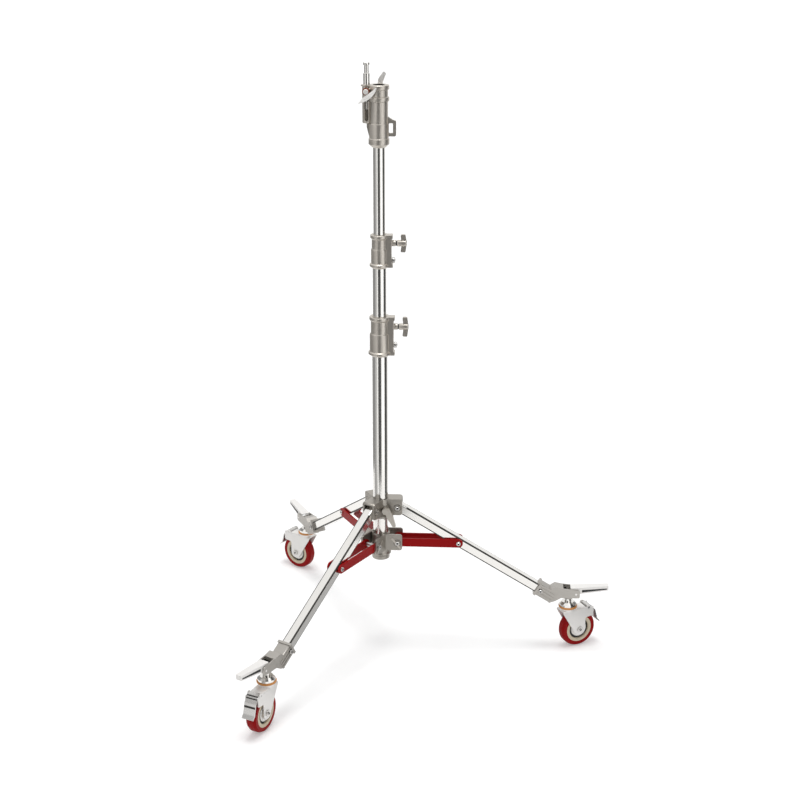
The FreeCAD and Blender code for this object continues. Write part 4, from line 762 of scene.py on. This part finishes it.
class STAND_OT_leg_ends(bpy.types.Operator):
    """The legs' end castings with their long levers"""

    bl_idname = "light_stand.leg_ends"
    bl_label = "Leg ends"

    def execute(self, context):
        edge = context.scene.stand_fittings.edge
        for node in each_leg("leg_end"):
            paint(node, "tumbled_aluminium_casting")
            soften(node, edge)
        for node in each_leg("leg_lever"):
            paint(node, "bright_zinc_pressing")
            soften(node, edge)
        for leg in LEGS:
            for side in SIDES:
                self.lever_groove(leg, side)
            self.arm_recess(leg)
        for leg in LEGS:
            bolt_sockets("sleeve_socket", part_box("sleeve_bolts_right"), leg, f"{leg}_leg")
        return {"FINISHED"}

    def lever_groove(self, leg, side):
        """A dark strip of painted shade along one side of a lever, standing for a shaded groove."""
        low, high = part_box("leg_lever_right")
        corners = []
        for share, rise in LEVER_GROOVE:
            along = low[0] + (high[0] - low[0]) * share
            across = SIDES[side] * (LEVER_HALF - LEVER_TAPER * share) * MM
            height = low[2] + (rise + LEVER_CLIMB * share) * MM
            corners.append(turn(leg) @ Vector((along, across, height)))
        depth = facing(leg, (0, -SIDES[side], 0)) * LEVER_GROOVE_DEPTH * MM
        name = f"lever_groove_{side}_{leg}"
        slab(name, corners, depth, "black_acetal_and_painted_shade", f"{leg}_lever")

    def arm_recess(self, leg):
        """The dark sheets of painted shade in the arm's recess and the rounded end of the stem in it.
        """
        swivel, _ = joint(f"{leg}_swivel")
        body = f"{leg}_leg"
        along = facing(leg, (1, 0, 0)) * MM
        across = facing(leg, (0, 1, 0)) * MM
        top = UP * RECESS_HEIGHT * MM
        floor = Vector((swivel.x, swivel.y, RECESS_FLOOR * MM))
        start = floor - along * RECESS_BACK - across * BACK_SHADE_SHEET_HALF
        end = floor - along * RECESS_BACK + across * BACK_SHADE_SHEET_HALF
        wall = [start, end, end + top, start + top]
        slab(f"arm_back_shade_sheet_{leg}", wall, along * BACK_SHADE_SHEET, "black_acetal_and_painted_shade", body)
        for side, sign in SIDES.items():
            foot = floor + across * sign * RECESS_HALF
            start, end = foot + along * SIDE_SHADE_SHEET_START, foot + along * SIDE_SHADE_SHEET_END
            wall = [start, end, end + top, start + top]
            depth = across * -sign * SIDE_SHADE_SHEET
            slab(f"arm_{side}_lining_{leg}", wall, depth, "black_acetal_and_painted_shade", body)
        _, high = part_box(f"caster_stem_{leg}")
        place = aim((swivel.x, swivel.y, high[2]), UP)
        turned(f"stem_end_{leg}", [("bright_zinc_pressing", STEM_END)], place, body)


class STAND_OT_braces(bpy.types.Operator):
    """The red braces and every bolt of the linkage"""

    bl_idname = "light_stand.braces"
    bl_label = "Braces"

    def execute(self, context):
        for node in each_leg("brace_bars"):
            paint(node, "red_stove_enamel")
        bolts = each_leg("brace_screws", "sleeve_bolts")
        for node in [*bolts, "brace_pivot_bolts", "leg_pivot_bolts"]:
            paint(node, "zinc_plated_steel")
        for leg in LEGS:
            bolt_sockets("brace_socket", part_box("brace_screws_right"), leg, f"{leg}_brace")
        for hub, (body, _) in HUBS.items():
            pivot, _ = joint(f"right_{hub}_fold")
            bolts = [corner.co for corner in NODES[f"{hub}_pivot_bolts"].data.vertices]
            reach = max(co.y for co in bolts if (co - pivot).xz.length < BOLT_REACH * MM)
            for leg in LEGS:
                for side, sign in SIDES.items():
                    spot = turn(leg) @ (pivot + Vector((0, sign * reach, 0)))
                    name = f"{hub}_pivot_socket_{side}_{leg}"
                    socket_head(name, spot, facing(leg, (0, sign, 0)), body)
        return {"FINISHED"}


class STAND_OT_casters(bpy.types.Operator):
    """The casters: forks, seal rings, wheels and brake pedals"""

    bl_idname = "light_stand.casters"
    bl_label = "Casters"

    def execute(self, context):
        for name, material in (
            ("caster_fork", "bright_zinc_pressing"),
            ("caster_stem", "bright_chromed_steel"),
            ("brake_pedal", "zinc_plated_steel"),
            ("caster_ring", "moulded_acetal"),
            ("wheel_tread", "cast_polyurethane"),
            ("wheel_core", "moulded_nylon"),
            ("wheel_axle", "zinc_plated_steel"),
        ):
            for node in each_leg(name):
                paint(node, material)
        # The groove round the disc is dark with painted shade.
        bands = [
            ("bright_zinc_pressing", WHEEL_DISC),
            ("black_acetal_and_painted_shade", WHEEL_GROOVE),
            ("moulded_nylon", WHEEL_RING),
        ]
        for leg in LEGS:
            middle, axis = joint(f"{leg}_wheel_spin")
            for side, sign in SIDES.items():
                away = axis * sign
                name = f"wheel_cover_{side}_{leg}"
                place = aim(middle, away)
                turned(name, bands, place, f"{leg}_wheel", sides=WHEEL_SIDES)
                end = middle + away * AXLE_END * MM
                socket_head(f"axle_socket_{side}_{leg}", end, away, f"{leg}_caster")
            self.pedal_grooves(leg)
        return {"FINISHED"}

    def pedal_grooves(self, leg):
        """The painted shade in the grooves across the pedal, between its ribs."""
        pivot, axis = joint(f"{leg}_brake_press")
        out = axis.cross(UP)
        half = axis * PEDAL_HALF * MM
        for index, edges in enumerate(PEDAL_GROOVES):
            near, far = (pivot + (out * reach + UP * rise) * MM for reach, rise in edges)
            normal = (far - near).cross(axis).normalized()
            if normal.dot(out) < 0:
                normal = -normal
            lift = normal * PEDAL_LIFT * MM
            corners = [near - half + lift, near + half + lift, far + half + lift, far - half + lift]
            depth = -normal * PEDAL_GROOVE_DEPTH * MM
            name = f"pedal_groove_{index}_{leg}"
            slab(name, corners, depth, "painted_shade_steel", f"{leg}_brake")


def seen_straight(tree):
    """Nodes that give one for rays from the camera or off a gloss, and their light path."""
    path = add(tree, "ShaderNodeLightPath")
    rays = [(path.outputs["Is Camera Ray"], 0), (path.outputs["Is Glossy Ray"], 1)]
    return path, add(tree, "ShaderNodeMath", rays, operation="MAXIMUM")


def white_surround(scene, sky):
    """A room that lights the object evenly and shows white itself and in reflections."""
    world = bpy.data.worlds.new("studio_room")
    scene.world = world
    world.use_nodes = True
    tree = world.node_tree
    tree.nodes.clear()
    path, seen = seen_straight(tree)
    rays = [(seen.outputs[0], 0), (path.outputs["Is Transmission Ray"], 1)]
    shown = add(tree, "ShaderNodeMath", rays, operation="MAXIMUM")
    value = [(shown.outputs[0], "Value")]
    level = add(tree, "ShaderNodeMapRange", value, To_Min=sky, To_Max=1.0)
    strength = [(level.outputs["Result"], "Strength")]
    light = add(tree, "ShaderNodeBackground", strength, Color=(1, 1, 1, 1))
    add(tree, "ShaderNodeOutputWorld", [(light.outputs["Background"], "Surface")])


def pale_floor(scene, hex_colour):
    """A floor that keeps the object's shadow and looks white around it."""
    mesh = bpy.data.meshes.new("floor")
    half = STAGE_SIZE / 2
    corners = [(-half, -half, 0), (half, -half, 0), (half, half, 0), (-half, half, 0)]
    mesh.from_pydata(corners, [], [(0, 1, 2, 3)])
    floor = bpy.data.objects.new("floor", mesh)
    scene.collection.objects.link(floor)
    material, tree = blank("matt_paper_floor")
    _, seen = seen_straight(tree)
    lift = add(tree, "ShaderNodeMath", [(seen.outputs[0], 0)], operation="MULTIPLY")
    lift.inputs[1].default_value = FLOOR_GLOW
    shader = add(
        tree,
        "ShaderNodeBsdfPrincipled",
        [(lift.outputs[0], "Emission Strength")],
        Base_Color=linear(hex_colour),
        Roughness=0.9,
        Emission_Color=(1, 1, 1, 1),
    )
    shader.inputs["Specular IOR Level"].default_value = 0.0
    add(tree, "ShaderNodeOutputMaterial", [(shader.outputs["BSDF"], "Surface")])
    mesh.materials.append(material)


def flag(scene, name, start, end, level, height=None, reach=None):
    """A curved card that stands round the object and shows in its reflections only.

    The angles run from the camera's side to the right, in degrees, and the level is the card's
    brightness. With a reach, which is its inner and its outer radius, it lies on the floor.
    """
    stage = scene.stand_stage
    eye = Vector(stage.eye).xy
    toward = math.atan2(eye.y, eye.x)
    vertices = []
    for step in range(CARD_STEPS + 1):
        angle = toward + math.radians(start + (end - start) * step / CARD_STEPS)
        spot = Vector((math.cos(angle), math.sin(angle), 0))
        if reach is None:
            foot = spot * stage.flag_distance
            vertices += [foot, foot + UP * (height or stage.flag_height)]
        else:
            vertices += [spot * radius + UP * MM for radius in reach]
    faces = [(2 * i, 2 * i + 2, 2 * i + 3, 2 * i + 1) for i in range(CARD_STEPS)]
    mesh = bpy.data.meshes.new(name)
    mesh.from_pydata(vertices, [], faces)
    card = bpy.data.objects.new(name, mesh)
    scene.collection.objects.link(card)
    material, tree = blank(f"{name}_card")
    glow = add(tree, "ShaderNodeEmission", Color=(1, 1, 1, 1), Strength=level)
    add(tree, "ShaderNodeOutputMaterial", [(glow.outputs["Emission"], "Surface")])
    mesh.materials.append(material)
    card.visible_camera = False
    card.visible_diffuse = False
    card.visible_shadow = False
    card.visible_transmission = False


class STAND_OT_stage(bpy.types.Operator):
    """The studio: camera, overhead lamp, floor and the cards that draw bands on the tubes"""

    bl_idname = "light_stand.stage"
    bl_label = "Studio"

    def execute(self, context):
        scene = context.scene
        stage = scene.stand_stage
        scene.view_settings.view_transform = "Standard"
        lens = bpy.data.cameras.new("studio_camera")
        lens.lens = stage.lens
        lens.sensor_width = 36.0
        lens.clip_end = STAGE_SIZE * 2
        camera = bpy.data.objects.new("studio_camera", lens)
        camera.location = stage.eye
        level = Vector((-math.sin(stage.heading), math.cos(stage.heading), 0))
        gaze = level * math.cos(stage.pitch) - UP * math.sin(stage.pitch)
        camera.rotation_euler = gaze.to_track_quat("-Z", "Y").to_euler()
        scene.collection.objects.link(camera)
        scene.camera = camera
        sun = bpy.data.lights.new("overhead_softbox", "SUN")
        sun.energy = stage.sun_strength
        sun.angle = stage.sun_angle
        lamp = bpy.data.objects.new("overhead_softbox", sun)
        scene.collection.objects.link(lamp)
        white_surround(scene, stage.sky)
        pale_floor(scene, scene.stand_finishes.floor)
        self.cards(scene)
        return {"FINISHED"}

    def cards(self, scene):
        """The standing cards, then the ones on the floor, by angles, level and size in metres."""
        flag(scene, "front_flag", -28, 16, 0.09)
        flag(scene, "softbox", 30, 56, 1.35)
        flag(scene, "side_flag", 68, 104, 0.07)
        flag(scene, "back_right_flag", 104, 124, 0.28)
        flag(scene, "back_left_flag", -150, -74, 0.3, height=1.5)
        flag(scene, "left_flag", -74, -46, 0.6, height=1.5)
        flag(scene, "front_apron", -28, 16, 0.09, reach=(1.14, 1.25))
        flag(scene, "foot_apron", -28, -2, 0.09, reach=(0.88, 1.03))
        flag(scene, "side_apron", 68, 104, 0.07, reach=(0.68, 1.25))
        flag(scene, "left_apron", -100, -46, 0.45, reach=(0.86, 1.25))
        flag(scene, "back_right_apron", 104, 124, 0.5, reach=(0.68, 1.25))
        flag(scene, "front_pad", -30, 60, 0.5, reach=(0.02, 0.38))
        flag(scene, "right_pad", 60, 112, 0.5, reach=(0.02, 0.5))


class STAND_PT_panel(bpy.types.Panel):
    """Lists the stand's pieces, finishes and stage."""

    bl_idname = "STAND_PT_panel"
    bl_label = "Light stand"
    bl_space_type = "VIEW_3D"
    bl_region_type = "UI"
    bl_category = "Light stand"

    def draw(self, context):
        for operator in PIECES:
            self.layout.operator(operator.bl_idname)
        for setting in SETTINGS:
            group = getattr(context.scene, setting)
            box = self.layout.box()
            for name in group.bl_rna.properties.keys():
                if name not in ("rna_type", "name"):
                    box.prop(group, name)


SETTINGS = {
    "stand_finishes": StandFinishes,
    "stand_stage": StandStage,
    "stand_fittings": StandFittings,
}
PIECES = (
    STAND_OT_stage,
    STAND_OT_tubes,
    STAND_OT_collars,
    STAND_OT_receiver,
    STAND_OT_levers,
    STAND_OT_leg_ends,
    STAND_OT_braces,
    STAND_OT_casters,
)


def register():
    for name, group in SETTINGS.items():
        bpy.utils.register_class(group)
        setattr(bpy.types.Scene, name, bpy.props.PointerProperty(type=group))
    for cls in (*PIECES, STAND_PT_panel):
        bpy.utils.register_class(cls)


def unregister():
    for cls in reversed((*PIECES, STAND_PT_panel)):
        bpy.utils.unregister_class(cls)
    for name, group in reversed(SETTINGS.items()):
        delattr(bpy.types.Scene, name)
        bpy.utils.unregister_class(group)


def main():
    register()
    for operator in PIECES:
        getattr(bpy.ops.light_stand, operator.bl_idname.split(".")[1])()


if __name__ == "__main__":
    main()
